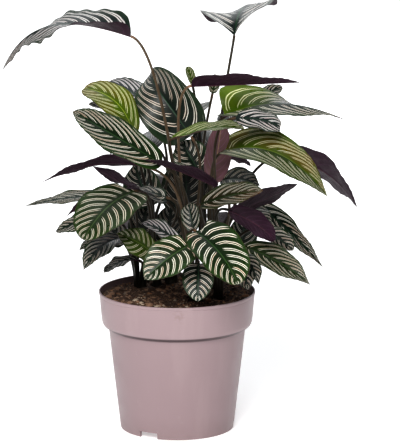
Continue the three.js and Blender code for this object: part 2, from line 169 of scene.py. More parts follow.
# %% The Finish helper
def rgb(red, green, blue):
    """A colour as a screen shows it, 0 to 255, as the linear values that a shader wants."""
    shares = (red / 255, green / 255, blue / 255)
    linear = [((c + 0.055) / 1.055) ** 2.4 if c > 0.04045 else c / 12.92 for c in shares]
    return (*linear, 1.0)


class Finish:
    def __init__(self, name):
        self.material = bpy.data.materials.new(name)
        self.material.use_nodes = True
        self.tree = self.material.node_tree
        self.tree.nodes.clear()
        self.output = self.tree.nodes.new("ShaderNodeOutputMaterial")
        self.place = self.node("ShaderNodeTexCoord").outputs["Object"]

    def node(self, kind, values=(), **settings):
        """Adds a node; values maps its inputs, by name or number, to a link or a number."""
        made = self.tree.nodes.new(kind)
        for key, value in settings.items():
            setattr(made, key, value)
        for key, value in dict(values).items():
            if isinstance(value, bpy.types.NodeSocket):
                self.tree.links.new(value, made.inputs[key])
            else:
                made.inputs[key].default_value = value
        return made

    def math(self, operation, *values):
        return self.node("ShaderNodeMath", enumerate(values), operation=operation).outputs[0]

    def step(self, value, low, high, at_low=0.0, at_high=1.0):
        """Rises smoothly from at_low to at_high while value goes from low to high."""
        values = {"Value": value, "From Min": low, "From Max": high, "To Min": at_low, "To Max": at_high}
        return self.node("ShaderNodeMapRange", values, interpolation_type="SMOOTHSTEP").outputs[0]

    def mix(self, share, a, b, blend="MIX"):
        values = {0: share, 6: a, 7: b}
        return self.node("ShaderNodeMix", values, data_type="RGBA", blend_type=blend).outputs[2]

    def noise(self, scale, detail=3.0, place=None):
        values = {"Vector": place or self.place, "Scale": scale, "Detail": detail}
        return self.node("ShaderNodeTexNoise", values).outputs["Fac"]

    def stretched(self, scale):
        """The coordinates, squeezed along an axis to draw a noise out along it."""
        values = {"Vector": self.place, "Scale": scale}
        return self.node("ShaderNodeMapping", values).outputs[0]

    def bump(self, height, distance, below=None):
        values = {"Height": height, "Distance": distance}
        if below:
            values["Normal"] = below
        return self.node("ShaderNodeBump", values).outputs[0]

    def surface(self, colour, roughness, normal=None, **more):
        values = {"Base Color": colour, "Roughness": roughness, **more}
        if normal:
            values["Normal"] = normal
        return self.node("ShaderNodeBsdfPrincipled", values).outputs[0]

    def done(self, shader):
        self.tree.links.new(shader, self.output.inputs["Surface"])
        return self.material


def white_floor():
    finish = Finish("white_floor")
    paper = finish.mix(finish.noise(3), rgb(252, 252, 252), rgb(255, 255, 255))
    away = finish.node("ShaderNodeVectorMath", {0: finish.place}, operation="LENGTH").outputs["Value"]
    glow = finish.step(away, 0.5, 2.0, 0.35, 0.8)
    shader = finish.surface(paper, 0.9, **{"Emission Color": (1, 1, 1, 1), "Emission Strength": glow})
    return finish.done(shader)


floor_mesh.materials.append(white_floor())
print("floor finish has", len(floor_mesh.materials[0].node_tree.nodes), "nodes")

# %% [markdown]
# ## The plant, leaf by leaf
#
# Nothing but measuring the photograph says where each leaf is, so the plant is a list: seven
# shoots, and for each leaf where its blade begins and ends in millimetres, how wide it is and
# which way its upper side looks. The solids are made from the same list. The last words of a
# leaf are about its looks only: how young it is, how much brown has come into it, how bright it
# is, which is partly its own tone and partly painted light and shade, and how much grey-white
# sheen is painted on it as a reflection.

# %% Shoots and leaves
def leaf(base, tip, wide, face, rise=(14, 14), fold=(18, 8), turn=0, lean=(0, 0), neck=0.22, wave=1.5,
         widest=0.42, drawn=1.15, lobe=(0.2, 0.2), tone="dark", joined=False,
         youth=None, left=None, blush=(0, 0), bright=1.0, silver=0.0, stem=None,
         sweep=0.42, ruffle=0.0, inset=0.0):
    """One leaf; pairs of looks are for base and tip, left is the left half's youth, stem 1 is tan."""
    # sweep is how far the veins run towards the tip on their way out, as a share of the length.
    # ruffle is how far short waves lift the margin, in mm.
    # inset makes a waved blade narrower by that share than its solid, because the solid's few
    # faces cut the crest of the wave off.
    # The grey-white sheen that some leaves get is painted: a reflection painted into their colour.
    youth = youth or ((1, 1) if tone == "young" else (0, 0))
    return SimpleNamespace(
        base=base, tip=tip, wide=wide, face=face, rise=rise, fold=fold, turn=turn, lean=lean, neck=neck,
        wave=wave, widest=widest, drawn=drawn, lobe=lobe, tone=tone, joined=joined,
        youth=youth, left=left, blush=blush, bright=bright, silver=silver, stem=stem,
        sweep=sweep, ruffle=ruffle, inset=inset)


def shoot(at, *leaves):
    return SimpleNamespace(at=at, leaves=leaves)


PLANT = {
    "middle": shoot(
        (22, 10),
        leaf((-54, -44, 488), (-210, 20, 436), 58, (0, -0.2, 0.98),
             rise=(38, 62), fold=(84, -36), turn=-8, lean=(-14, -22), neck=0.1, wave=4, widest=0.32,
             drawn=0.95, lobe=(0.5, 0.5), bright=0.9, blush=(0, 0.3), stem=0.4, silver=0.5, sweep=0.45,
             ruffle=1.6),
        leaf((18, -70, 433), (145, -92, 441), 62, (0, 0.35, 0.93),
             rise=(0, 0), fold=(14, 12), lean=(-18, -24), neck=0.1, widest=0.28, drawn=0.9, stem=0.65),
        leaf((17, 8, 358), (-33, 56, 425), 77, (-0.3, -0.85, 0.5),
             rise=(14, 40), fold=(14, 26), turn=-24, widest=0.42, drawn=1.0, lobe=(0.35, 0.35), bright=0.8,
             stem=0.3, sweep=0.58),
        leaf((-17, -78, 341), (-121, -98, 407), 60, (0.31, -0.54, 0.78),
             rise=(0, 2), fold=(8, 0), widest=0.5, drawn=0.8, youth=(0.06, 0.03), bright=1.2, sweep=0.5),
        leaf((-12, -16, 282), (-101, -14, 326), 35, (0, -0.5, 0.87),
             rise=(-4, -5), fold=(12, 12), turn=110, neck=0.1, widest=0.38, drawn=1.1),
        leaf((-6, -78, 371), (79, -104, 388), 34, (0, -0.2, 0.97),
             rise=(3, 12), fold=(24, 10), neck=0.06, widest=0.5, drawn=0.6, tone="young", youth=(0.9, 0.3),
             bright=1.0, sweep=0.7),
        leaf((25, 26, 313), (4, 34, 348), 44, (0, -0.92, 0.35), rise=(6, 8), fold=(12, 8)),
    ),
    "front": shoot(
        (22, -26),
        leaf((-32, -46, 330), (-161, -62, 315), 37, (0, 0.5, 0.85),
             rise=(22, 14), fold=(12, 8), neck=0.3, widest=0.34, drawn=1.1, stem=0.7),
        leaf((-27, -80, 233), (-71, -90, 260), 36, (0.1, -0.8, 0.6),
             rise=(6, 10), fold=(4, 4), wave=2, tone="young", youth=(0.45, 0.35), bright=0.75, sweep=0.28),
        leaf((15, -92, 246), (-37, -124, 212), 52, (-0.3, -0.8, 0.5),
             rise=(8, 8), fold=(10, 4), widest=0.4, drawn=0.9, lobe=(0.35, 0.35), bright=1.25,
             youth=(0.1, 0.05), sweep=0.28),
        leaf((24, -100, 264), (72, -150, 212), 72, (0.5, -0.75, 0.5),
             rise=(10, 14), fold=(14, 6), widest=0.42, drawn=0.7, lobe=(0.9, 0.1), bright=1.4, stem=0.4,
             youth=(0.03, 0.1), sweep=0.28),
        leaf((21, -75, 259), (15, -58, 290), 24, (-0.3, -0.9, 0.3),
             rise=(4, 4), fold=(20, 10), widest=0.55, bright=0.6),
        leaf((73, -82, 235), (97, -124, 206), 28, (0.35, -0.65, 0.6),
             rise=(6, 8), fold=(12, 6), bright=0.65, sweep=0.28),
        leaf((70, -62, 224), (85, -82, 190), 28, (0.1, -0.75, 0.6), rise=(6, 8), fold=(12, 6), drawn=0.8),
        leaf((26, -72, 219), (25, -96, 179), 38, (0, -0.75, 0.65),
             rise=(8, 10), fold=(10, 6), drawn=0.8, sweep=0.28),
    ),
    "left": shoot(
        (-25, 54),
        leaf((-51, -34, 364), (-110, -28, 423), 50, (0.5, -0.6, 0.6),
             rise=(26, 31), fold=(8, 4), widest=0.55, drawn=0.5, tone="young", youth=(1, 0.9),
             blush=(0.3, 0.6), sweep=0.55),
        leaf((-47, -10, 357), (-105, -22, 402), 34, (0.3, 0.1, 0.9),
             rise=(12, 10), fold=(26, 14), turn=-20, widest=0.5, drawn=0.7),
        leaf((-51, -76, 307), (-108, -136, 262), 82, (-0.45, -0.65, 0.6),
             rise=(14, 16), fold=(8, 0), widest=0.4, drawn=0.75, lobe=(0.2, 0.45), bright=0.95,
             youth=(0.1, 0.15), sweep=0.28),
        leaf((-63, -48, 245), (-110, -92, 216), 44, (-0.35, -0.4, 0.8), rise=(14, 12), fold=(12, 6)),
        leaf((6, -60, 240), (-42, -84, 271), 34, (0, -0.5, 0.85),
             rise=(4, 6), fold=(14, 8), widest=0.5, silver=0.6),
        leaf((-13, -63, 298), (-62, -63, 309), 34, (0, -0.45, 0.88),
             rise=(2, 4), fold=(8, 10), turn=60, widest=0.4, drawn=0.9, joined=True, bright=0.8),
    ),
    "back_left": shoot(
        (-46, 46),
        leaf((-9, 48, 363), (-83, 84, 412), 46, (0.3, -0.55, 0.75),
             rise=(12, 12), fold=(12, 4), widest=0.6, drawn=0.7, bright=1.1, silver=0.6, sweep=0.7),
        leaf((-79, 20, 280), (-185, 14, 271), 26, (0, -0.4, 0.92),
             rise=(10, 5), fold=(10, 6), widest=0.3, drawn=1.2, sweep=0.6),
        leaf((-71, -10, 292), (-133, -34, 268), 28, (-0.4, 0.6, 0.7),
             rise=(8, 6), fold=(10, 10), widest=0.35),
        leaf((-85, -24, 265), (-146, -6, 244), 34, (-0.1, -0.5, 0.85),
             rise=(8, 4), fold=(10, 6), drawn=0.8),
        leaf((-73, -16, 237), (-117, -40, 228), 28, (-0.1, -0.3, 0.95), rise=(8, 8), fold=(12, 6)),
        leaf((-47, -10, 209), (-87, -40, 201), 25, (0, -0.1, 0.95), rise=(10, 5), fold=(16, 6), drawn=0.7),
        leaf((-33, 36, 266), (-52, 42, 318), 48, (-0.2, -0.9, 0.3), rise=(6, 6), fold=(14, 8)),
        leaf((-65, 44, 218), (-87, 46, 244), 28, (0, -0.9, 0.3),
             rise=(5, 5), fold=(8, 4), drawn=0.8, joined=True, bright=0.4, stem=0.05),
    ),
    "right": shoot(
        (50, -12),
        leaf((48, -82, 314), (-40, -96, 350), 40, (0, 0.15, 1),
             rise=(3, 3), fold=(30, 26), widest=0.35, stem=0.5, bright=0.75, sweep=0.6),
        leaf((29, -100, 297), (101, -128, 319), 38, (0.1, -0.6, 0.8),
             rise=(4, 6), fold=(14, 6), neck=0.06, widest=0.45, drawn=0.8, youth=(0.03, 0.15), bright=0.7,
             blush=(0.1, 0.95), sweep=0.6),
        leaf((71, -50, 277), (145, -42, 310), 36, (-0.2, 0.65, 0.7),
             rise=(0, 0), fold=(10, 6), widest=0.45, bright=0.7),
        leaf((80, -54, 236), (158, -96, 199), 42, (0.2, -0.6, 0.75),
             rise=(8, 10), fold=(14, 6), bright=0.85, youth=(0.12, 0.1), sweep=0.55),
        leaf((62, -82, 286), (116, -112, 257), 32, (-0.35, 0.7, 0.4),
             rise=(8, 8), fold=(10, 10), widest=0.5, drawn=0.7, bright=1.2),
        leaf((57, -56, 352), (177, -106, 308), 70, (0.1, -0.45, 0.87),
             rise=(41, 38), fold=(20, 2), widest=0.3, drawn=0.95, lobe=(0.9, 0.2), tone="young",
             youth=(0.35, 0.25), blush=(0.4, 0.5), bright=1.0, left=(0.8, 0.5), sweep=0.65),
        leaf((70, -89, 398), (122, -92, 388), 34, (0, -0.55, 0.83),
             rise=(6, 8), fold=(8, 0), widest=0.5, drawn=0.4, silver=0.45, sweep=0.9),
        # This leaf is made three times as bright: a painted highlight on its purple underside.
        leaf((42, -20, 306), (54, -20, 381), 34, (0.35, 0.9, 0.1),
             rise=(4, 4), fold=(14, 10), drawn=0.8, bright=3.0, youth=(0.3, 0.25)),
    ),
    "back_right": shoot(
        (40, 40),
        leaf((69, 25, 478), (89, 120, 501), 103, (-0.07, 0, 1),
             rise=(20, 15), fold=(60, -22), turn=-24, lean=(-8, -10), wave=4, widest=0.42, lobe=(0.2, 0.2),
             stem=0.05, silver=0.3, inset=0.08),
        leaf((19, 56, 411), (12, 52, 435), 14, (0.3, -0.95, 0.2),
             rise=(2, 2), fold=(52, 36), wave=0, widest=0.6, drawn=0.5, tone="young", youth=(0.55, 0.4)),
        leaf((43, 24, 408), (48, 30, 429), 15, (0, -0.9, 0.4),
             rise=(4, 4), fold=(30, 10), lean=(-24, 4), neck=0.22, widest=0.55, drawn=0.5,
             youth=(0.15, 0.1), bright=0.7, stem=0.1),
        leaf((96, 10, 274), (177, -6, 199), 36, (0.55, -0.55, 0.6), rise=(8, 4), fold=(8, 6), widest=0.26),
        leaf((76, -14, 272), (114, -38, 261), 34, (0, -0.2, 0.95), rise=(8, 6), fold=(14, 8), bright=0.7),
        leaf((102, -20, 249), (139, -44, 229), 32, (0.2, -0.5, 0.8),
             rise=(4, 4), fold=(14, 6), widest=0.5, drawn=0.8),
        leaf((58, -14, 386), (204, -50, 387), 76, (0, -0.55, 0.84),
             rise=(35, 31), fold=(50, -36), turn=-44, widest=0.12, drawn=1.6, lobe=(0.5, 0.1),
             tone="young", youth=(0.3, -0.5), left=(1.2, -2), sweep=0.45, bright=1.1),
        leaf((131, 22, 330), (216, -40, 280), 68, (0.35, 0.6, 0.7), rise=(19, 16), fold=(10, 6)),
        leaf((59, 36, 325), (90, 44, 314), 22, (0.1, 0.5, 0.8), rise=(4, 4), fold=(14, 10)),
        leaf((54, 4, 305), (100, -10, 301), 38, (0, -0.5, 0.85), rise=(7, 7), fold=(14, 6), bright=0.7),
        leaf((77, 52, 205), (84, 56, 252), 36, (0, -0.95, 0.2),
             rise=(6, 6), fold=(8, 4), drawn=0.8, joined=True, bright=0.6, stem=0.1),
        leaf((76, 34, 383), (127, 40, 413), 24, (0, -0.55, 0.83),
             rise=(4, 4), fold=(8, 0), widest=0.6, drawn=0.6, bright=0.8),
    ),
    # The back shoot's leaves are made dark by a low brightness: painted shade, as they lie deep in the
    # plant.
    "back": shoot(
        (-8, 68),
        leaf((-25, 78, 330), (-84, 150, 308), 62, (0, -0.1, 1),
             rise=(20, 14), fold=(18, 8), bright=0.4, stem=0.05),
        leaf((26, 76, 326), (92, 150, 318), 62, (0, -0.1, 1),
             rise=(20, 14), fold=(18, 8), bright=0.4, stem=0.05),
        leaf((-8, 98, 285), (-26, 162, 258), 56, (0, 0.1, 1),
             rise=(18, 12), fold=(18, 8), bright=0.4, stem=0.05),
        leaf((10, 94, 362), (16, 162, 362), 60, (0, -0.1, 1),
             rise=(18, 12), fold=(18, 8), bright=0.4, stem=0.05),
        leaf((-48, 82, 262), (-118, 124, 236), 48, (-0.1, 0.1, 1),
             rise=(16, 12), fold=(18, 8), joined=True, bright=0.4, stem=0.05),
        leaf((36, 92, 268), (112, 128, 240), 48, (0.1, 0.1, 1),
             rise=(16, 12), fold=(18, 8), joined=True, bright=0.4, stem=0.05),
        leaf((22, 104, 236), (58, 160, 212), 48, (0, 0.1, 1),
             rise=(16, 10), fold=(18, 8), joined=True, bright=0.4, stem=0.05),
        leaf((-30, 100, 228), (-74, 158, 206), 46, (0, 0.1, 1),
             rise=(14, 10), fold=(18, 8), joined=True, bright=0.4, stem=0.05),
        leaf((-30, 80, 366), (-80, 130, 362), 54, (0, -0.1, 1),
             rise=(18, 12), fold=(18, 8), joined=True, bright=0.4, stem=0.05),
        leaf((56, 76, 356), (112, 118, 350), 54, (0, -0.1, 1),
             rise=(16, 12), fold=(18, 8), bright=0.4, stem=0.05),
        leaf((11, 65, 250), (11, 67, 320), 62, (0, -0.95, 0.2),
             rise=(6, 6), fold=(8, 4), drawn=0.7, joined=True, bright=0.4, stem=0.05),
        leaf((-43, 61, 211), (-38, 63, 263), 40, (0, -0.95, 0.2),
             rise=(5, 5), fold=(8, 4), drawn=0.8, joined=True, bright=0.4, stem=0.05),
        leaf((-12, 60, 206), (-8, 62, 263), 40, (0, -0.95, 0.2),
             rise=(5, 5), fold=(8, 4), drawn=0.8, joined=True, bright=0.4, stem=0.05),
    ),
}
print(len(PLANT), "shoots with", sum(len(s.leaves) for s in PLANT.values()), "leaves")

# %% [markdown]
# ## The shape of a leaf blade
#
# A calathea's blade hangs from its midrib: the midrib is a bent line in space, and the two halves
# of the blade fold up or down from it. So each blade is written as a rule with two numbers, `u`
# along the midrib and `v` across it from margin to margin, and a grid of points is laid through
# the rule. Mesh code fits this better than modelling by hand, because all blades share one rule
# and only their few measures differ.

# %% The midrib, the outline and the surface
STALK_TOP = 1.5
TIP_WIDTH = 0.7
FOOT_ROUNDNESS = 2.2  # 2 is an ellipse
GAP = 0.3  # between a blade and its stalk
JOINED_DEPTH = 1.0  # how far a joined blade stands in its stalk
OUTWARD_SWEEP = 0.35  # how far the margin leans towards the tip
WAVES, RUFFLES = 2.5, 9.5  # along a blade's margin


def unit(a):
    return a / np.linalg.norm(a, axis=-1, keepdims=True)


def on_curve(control, u):
    """Points of a cubic Bezier curve, and the directions it runs in."""
    a, b, c, d = control
    t = np.asarray(u, float)[:, None]
    s = 1 - t
    points = s**3 * a + 3 * s * s * t * b + 3 * s * t * t * c + t**3 * d
    return points, unit(s * s * (b - a) + 2 * s * t * (c - b) + t * t * (d - c))


def midrib_of(blade):
    start, end = np.array(blade.base, float), np.array(blade.tip, float)
    third = (end - start) / 3
    along = unit(end - start)
    up = np.array(blade.face, float)
    up = unit(up - along * (up @ along))
    bends = [start + third * (i + 1) + up * blade.rise[i] for i in (0, 1)]
    return (start, *bends, end), np.cross(along, up)


def half_width(blade, u):
    foot = np.sqrt(np.clip(1 - np.abs(1 - u / blade.widest) ** FOOT_ROUNDNESS, 0, 1))
    tip = np.cos(np.clip((u - blade.widest) / (1 - blade.widest), 0, 1) * math.pi / 2) ** blade.drawn
    return blade.wide / 2 * np.where(u < blade.widest, foot, tip)


def blade_surface(blade, u, v):
    """The blade's middle surface as a grid of points, its upward directions and its reach, in mm."""
    control, side = midrib_of(blade)
    centre, ahead = on_curve(control, u)
    side = unit(side - ahead * (ahead @ side)[:, None])
    roll = np.radians(blade.turn * u)[:, None]
    side = side * np.cos(roll) + np.cross(ahead, side) * np.sin(roll)
    up = np.cross(side, ahead)
    drawn_in = half_width(blade, u) * (1 - blade.inset)
    reach = np.maximum(drawn_in, np.where(u < 0.5, STALK_TOP, TIP_WIDTH / 2))
    fold = np.radians(blade.fold[1] + (blade.fold[0] - blade.fold[1]) * (1 - u) ** 2)
    U, V = u[:, None], v[None, :]
    wave = np.sin(math.tau * WAVES * U + np.where(V > 0, 0.6, 2.4))
    ruffle = np.sin(math.tau * RUFFLES * U + np.where(V > 0, 0, 1.7))
    waved = (V * V * blade.wave * wave + V**4 * blade.ruffle * ruffle) * np.sin(math.pi * U)
    lobe = np.where(V > 0, blade.lobe[1], blade.lobe[0]) * (1 - U) ** 2
    swept = (OUTWARD_SWEEP * U - lobe) * np.minimum(1, 12 * U)
    out = reach[:, None] * np.abs(V)
    across = reach[:, None] * V * np.cos(fold)[:, None]
    high = out * np.sin(fold)[:, None] + waved
    points = centre[:, None] + side[:, None] * across[..., None] + up[:, None] * high[..., None]
    points = points + ahead[:, None] * (out * swept)[..., None]
    set_off = -JOINED_DEPTH if blade.joined else GAP / 2
    return points + ahead[0] * set_off, up, reach


sample = blade_surface(PLANT["front"].leaves[3], np.linspace(0, 1, 5), np.linspace(-1, 1, 3))
print("one blade reaches", [round(float(x)) for x in sample[2]], "mm to each side")

# %% [markdown]
# ## Side veins
#
# The pale stripes and the fine pleats both follow the side veins, which leave the midrib, bend
# towards the tip and fade before the margin. A number that is constant along every vein and
# grows by one from vein to vein turns all of that into a simple pattern, so it is worked out for
# each point of the grid and kept in the blade's own UV map, with `v` as the second coordinate.

# %% Vein numbers and the blade's thickness
BLADE_THICK = 0.55
EDGE_THICK = 0.28
RIB_HIGH = 1.2
RIB_WIDE = 1.3
GROOVE = 0.25  # of the midrib, on the upper face
PLEAT = 0.32
STUB = 0.05  # share of the blade over which the stalk runs out into the midrib
VEIN_SPACING = 12  # along a midrib, beyond the first few
FIRST_VEINS = 6


def vein_numbers(blade, u, v):
    length = np.linalg.norm(np.subtract(blade.tip, blade.base))
    count = (FIRST_VEINS + length / VEIN_SPACING) / (1 + 1.2 * blade.sweep)
    bent = 0.4 * np.abs(v) + 0.6 * v * v
    swept = (1 - np.exp(-u / 0.3)) * (1 - 0.5 * np.clip((u - 0.55) / 0.45, 0, 1))
    return count * (u[:, None] - blade.sweep * swept[:, None] * bent[None, :])


def blade_faces(blade, u, v):
    """Points of the upper face and of the underside."""
    middle, up, reach = blade_surface(blade, u, v)
    veins = vein_numbers(blade, u, v)
    x = reach[:, None] * v[None, :]
    stub = np.clip(1 - u / STUB, 0, 1)[:, None] ** 2
    round_end = np.sqrt(np.clip(STALK_TOP**2 - x * x, 0, None))
    edge = BLADE_THICK + (EDGE_THICK - BLADE_THICK) * v[None, :] ** 4
    midrib = np.exp(-((x / RIB_WIDE) ** 2))
    rib = RIB_HIGH * midrib * (1 - u[:, None]) ** 0.8
    inner = np.abs(v)[None, :] ** 0.7 * np.minimum(1, reach / 8)[:, None]
    pleat = PLEAT * np.cos(2 * math.pi * veins) * inner
    over = edge / 2 - GROOVE * midrib * (1 - stub) + pleat
    under = -edge / 2 - rib + pleat
    over = over + (np.maximum(round_end, edge / 2) - over) * stub
    under = under + (-np.maximum(round_end, edge / 2) - under) * stub
    lift = up[:, None]
    return middle + lift * over[..., None], middle + lift * under[..., None], veins


def spread(count, power):
    """Numbers from -1 to 1 that lie closer together round 0."""
    line = np.linspace(-1, 1, count)
    return np.sign(line) * np.abs(line) ** power


ACROSS = spread(23, 1.35)
ALONG = np.linspace(0, 1, 73) ** 1.25
ALONG = np.sort(np.append(ALONG, [0.004, 0.012]))
print("a blade's grid:", len(ALONG), "by", len(ACROSS))

# %% [markdown]
# ## From grid to mesh
#
# A closed skin needs the upper face, the underside with its faces turned round, and a narrow
# strip along the whole margin. The upper face and the underside take different finishes. What a
# leaf has of its own, such as how young it is, is stored as a colour attribute, so all blades can
# share two materials.

# %% Mesh helpers
def mesh_piece(name, points, faces, materials, slots=None, smooth=True):
    """An object at the origin, made from points in millimetres."""
    mesh = bpy.data.meshes.new(name)
    mesh.from_pydata([tuple(p) for p in np.asarray(points) * MM], [], [tuple(f) for f in faces])
    for material in materials:
        mesh.materials.append(material)
    if slots is not None:
        mesh.polygons.foreach_set("material_index", slots)
    mesh.polygons.foreach_set("use_smooth", [smooth] * len(mesh.polygons))
    piece = bpy.data.objects.new(name, mesh)
    bpy.context.collection.objects.link(piece)
    return piece


def grid_quads(rows, columns):
    i, j = np.meshgrid(np.arange(rows - 1), np.arange(columns - 1), indexing="ij")
    a = (i * columns + j).ravel()
    return np.stack([a, a + 1, a + columns + 1, a + columns], axis=1)


def blade_piece(name, blade, materials):
    over, under, veins = blade_faces(blade, ALONG, ACROSS)
    rows, columns = veins.shape
    count = rows * columns
    points = np.concatenate([over.reshape(-1, 3), under.reshape(-1, 3)])
    top = grid_quads(rows, columns)
    loop = [j for j in range(columns)]
    loop += [i * columns + columns - 1 for i in range(1, rows)]
    loop += [(rows - 1) * columns + j for j in range(columns - 2, -1, -1)]
    loop += [i * columns for i in range(rows - 2, 0, -1)]
    rim = [(a, a + count, b + count, b) for a, b in zip(loop, loop[1:] + loop[:1])]
    faces = [*top, *(top[:, ::-1] + count), *rim]
    slots = [0] * len(top) + [1] * (len(top) + len(rim))
    piece = mesh_piece(name, points, faces, materials, slots)
    mesh = piece.data
    corners = np.zeros(len(mesh.loops), int)
    mesh.loops.foreach_get("vertex_index", corners)
    across = np.broadcast_to(ACROSS, veins.shape)
    flat = np.stack([veins.ravel(), across.ravel()], axis=1)[corners % count]
    mesh.uv_layers.new(name="veins").data.foreach_set("uv", flat.ravel())
    traits = mesh.attributes.new("traits", "FLOAT_COLOR", "POINT")
    traits.data.foreach_set("color", np.tile(blade.traits, 2))
    # The share of grey-white painted sheen on every point, a reflection painted into the colour.
    silver = mesh.attributes.new("silver", "FLOAT", "POINT")
    silver.data.foreach_set("value", np.full(len(mesh.vertices), blade.silver))
    mesh.set_sharp_from_angle(angle=math.radians(60))
    return piece


print("rim and faces close the blade:", len(grid_quads(4, 3)) == 6)

# %% [markdown]
# ## The faces of a leaf
#
# The stripes come in pairs along the side veins. Each stripe begins a little away from the
# midrib, swells, and ends before the margin, and no two have quite the same length. White noise
# on the stripe's own number gives it its length, so the same leaf always gets the same stripes.

# %% Stripes
STRIPE = SimpleNamespace(
    # shares of the distance between two veins; the third is how much wider a stripe grows under painted
    # grey-white sheen
    pair=0.13, half=0.055, silver_adds=0.06, soft=0.02, least=0.012, wander=0.22,
    # shares of the way from the midrib to the margin
    start=0.02, start_varies=0.12, swell=0.16, end=0.92, end_varies=0.1, fade=0.14)


def vein_pattern(finish):
    """What both faces of a blade read: vein number, distance from the midrib, and the leaf's traits."""
    uv = finish.node("ShaderNodeUVMap", uv_map="veins").outputs[0]
    number, across, _ = finish.node("ShaderNodeSeparateXYZ", {0: uv}).outputs
    wander = finish.math("MULTIPLY", finish.math("SUBTRACT", finish.noise(90, 2), 0.5), STRIPE.wander)
    number = finish.math("ADD", number, wander)
    traits = finish.node("ShaderNodeAttribute", attribute_name="traits")
    youth, own, blush = finish.node("ShaderNodeSeparateColor", {0: traits.outputs["Color"]}).outputs
    return SimpleNamespace(
        number=number, cell=finish.math("FLOOR", number), inside=finish.math("FRACT", number),
        side=finish.math("GREATER_THAN", across, 0.0), out=finish.math("ABSOLUTE", across),
        youth=youth, own=own, blush=blush, bright=traits.outputs["Alpha"],
        silver=finish.node("ShaderNodeAttribute", attribute_name="silver").outputs["Fac"])


def stripes(finish, at):
    """1 on a stripe and 0 between, the stripe's own tint, the distance from the vein, the fade."""
    off = finish.math("SUBTRACT", at.inside, 0.5)
    from_vein = finish.math("ABSOLUTE", off)
    number = finish.math("ADD", finish.math("MULTIPLY", at.cell, 2), finish.math("GREATER_THAN", off, 0.0))
    side = finish.math("MULTIPLY", at.side, 7.0)
    leaf_number = finish.math("MULTIPLY", at.own, 91.0)
    seed = finish.node("ShaderNodeCombineXYZ", {0: number, 1: side, 2: leaf_number}).outputs[0]
    drawn = finish.node("ShaderNodeTexWhiteNoise", {"Vector": seed}, noise_dimensions="3D")
    begins, ends, tint = finish.node("ShaderNodeSeparateColor", {0: drawn.outputs["Color"]}).outputs
    first = finish.math("MULTIPLY_ADD", begins, STRIPE.start_varies, STRIPE.start)
    last = finish.math("MULTIPLY_ADD", ends, STRIPE.end_varies, STRIPE.end)
    swell = finish.step(at.out, first, finish.math("ADD", first, STRIPE.swell))
    fade = finish.step(at.out, finish.math("SUBTRACT", last, STRIPE.fade), last, 1.0, 0.0)
    # Painted sheen widens the stripes.
    half = finish.math("MULTIPLY_ADD", at.silver, STRIPE.silver_adds, STRIPE.half)
    width = finish.math("MULTIPLY", finish.math("MULTIPLY", swell, fade), half)
    away = finish.math("ABSOLUTE", finish.math("SUBTRACT", from_vein, STRIPE.pair))
    line = finish.step(away, finish.math("SUBTRACT", width, STRIPE.soft), width, 1.0, 0.0)
    line = finish.math("MULTIPLY", line, finish.math("GREATER_THAN", width, STRIPE.least))
    return line, tint, from_vein, fade


print("a pair of stripes fills", round(2 * (STRIPE.pair + STRIPE.half), 2), "of the space between veins")

# %% [markdown]
# ## Green above, purple below
#
# The ground of the upper face is nearly black-green on an old leaf and yellow-green on a young
# one, with a lighter margin, a pinkish band between the two stripes of a pair, and fine lines
# along the veins. The underside is purple with darker and lighter patches. A little light passes
# through both, more through a young leaf, so each face mixes some translucent glow in.

# %% Leaf finishes
VEIN_LINES = 44.0  # how fast the fine lines between the veins repeat, in radians for one vein
THROUGH_LEAF = 0.14  # share of light let through: a third of it when old, this much more when young
GREEN = SimpleNamespace(
    old=(rgb(4, 14, 10), rgb(11, 31, 20)), young=(rgb(70, 96, 12), rgb(104, 128, 24)),
    margin=rgb(38, 68, 30), fine_lines=rgb(60, 92, 48), edge=rgb(70, 60, 40),
    by_midrib=(rgb(7, 22, 14), rgb(60, 98, 10)), midrib=(rgb(34, 74, 44), rgb(176, 196, 70)),
    through=(rgb(60, 110, 30), rgb(170, 210, 40)))
BROWN = rgb(124, 66, 34)
BETWEEN_STRIPES = rgb(128, 100, 84), rgb(170, 176, 84)  # on an old leaf, on a young one
CREAM = rgb(252, 252, 238), rgb(236, 208, 184)
YOUNG_CREAM = rgb(244, 250, 186)
# Painted sheen: a grey-white reflection painted over the stripes and the ground of a glossy leaf.
PAINTED_SHEEN_CREAM = rgb(232, 232, 240)
PAINTED_SHEEN_GREY = rgb(80, 84, 94)
PURPLE = rgb(26, 10, 21), rgb(52, 22, 43)
PALE_UNDERSIDE = rgb(96, 84, 60), rgb(120, 96, 78)
PURPLE_VEIN = rgb(88, 54, 80)
PURPLE_MIDRIB = rgb(86, 48, 60), rgb(130, 130, 62)
PURPLE_THROUGH = rgb(150, 60, 110)


def leaf_ground(finish, at, from_vein, fade):
    """The upper face between its stripes."""
    patchy = finish.noise(55, 4)
    old = finish.mix(patchy, *GREEN.old)
    old = finish.mix(finish.step(at.out, 0.55, 1.0, 0.0, 0.5), old, GREEN.margin)
    ground = finish.mix(at.youth, old, finish.mix(patchy, *GREEN.young))
    blotch = finish.math("MULTIPLY", at.blush, finish.step(finish.noise(38, 3), 0.35, 0.6))
    ground = finish.mix(blotch, ground, BROWN)
    band = finish.math("MULTIPLY", finish.step(from_vein, 0.06, 0.16, 0.18, 0.0), fade)
    band = finish.math("MULTIPLY", band, finish.step(at.out, 0.2, 0.4))
    return finish.mix(band, ground, finish.mix(at.youth, *BETWEEN_STRIPES))


def dimmed(finish, at, colour):
    """A leaf's colour times its brightness: partly its own tone and partly painted light and shade, darker
    for a leaf deep in shade and lighter where a highlight is painted.
    """
    grey = finish.node("ShaderNodeCombineColor", {0: at.bright, 1: at.bright, 2: at.bright}).outputs[0]
    return finish.mix(1.0, colour, grey, "MULTIPLY")


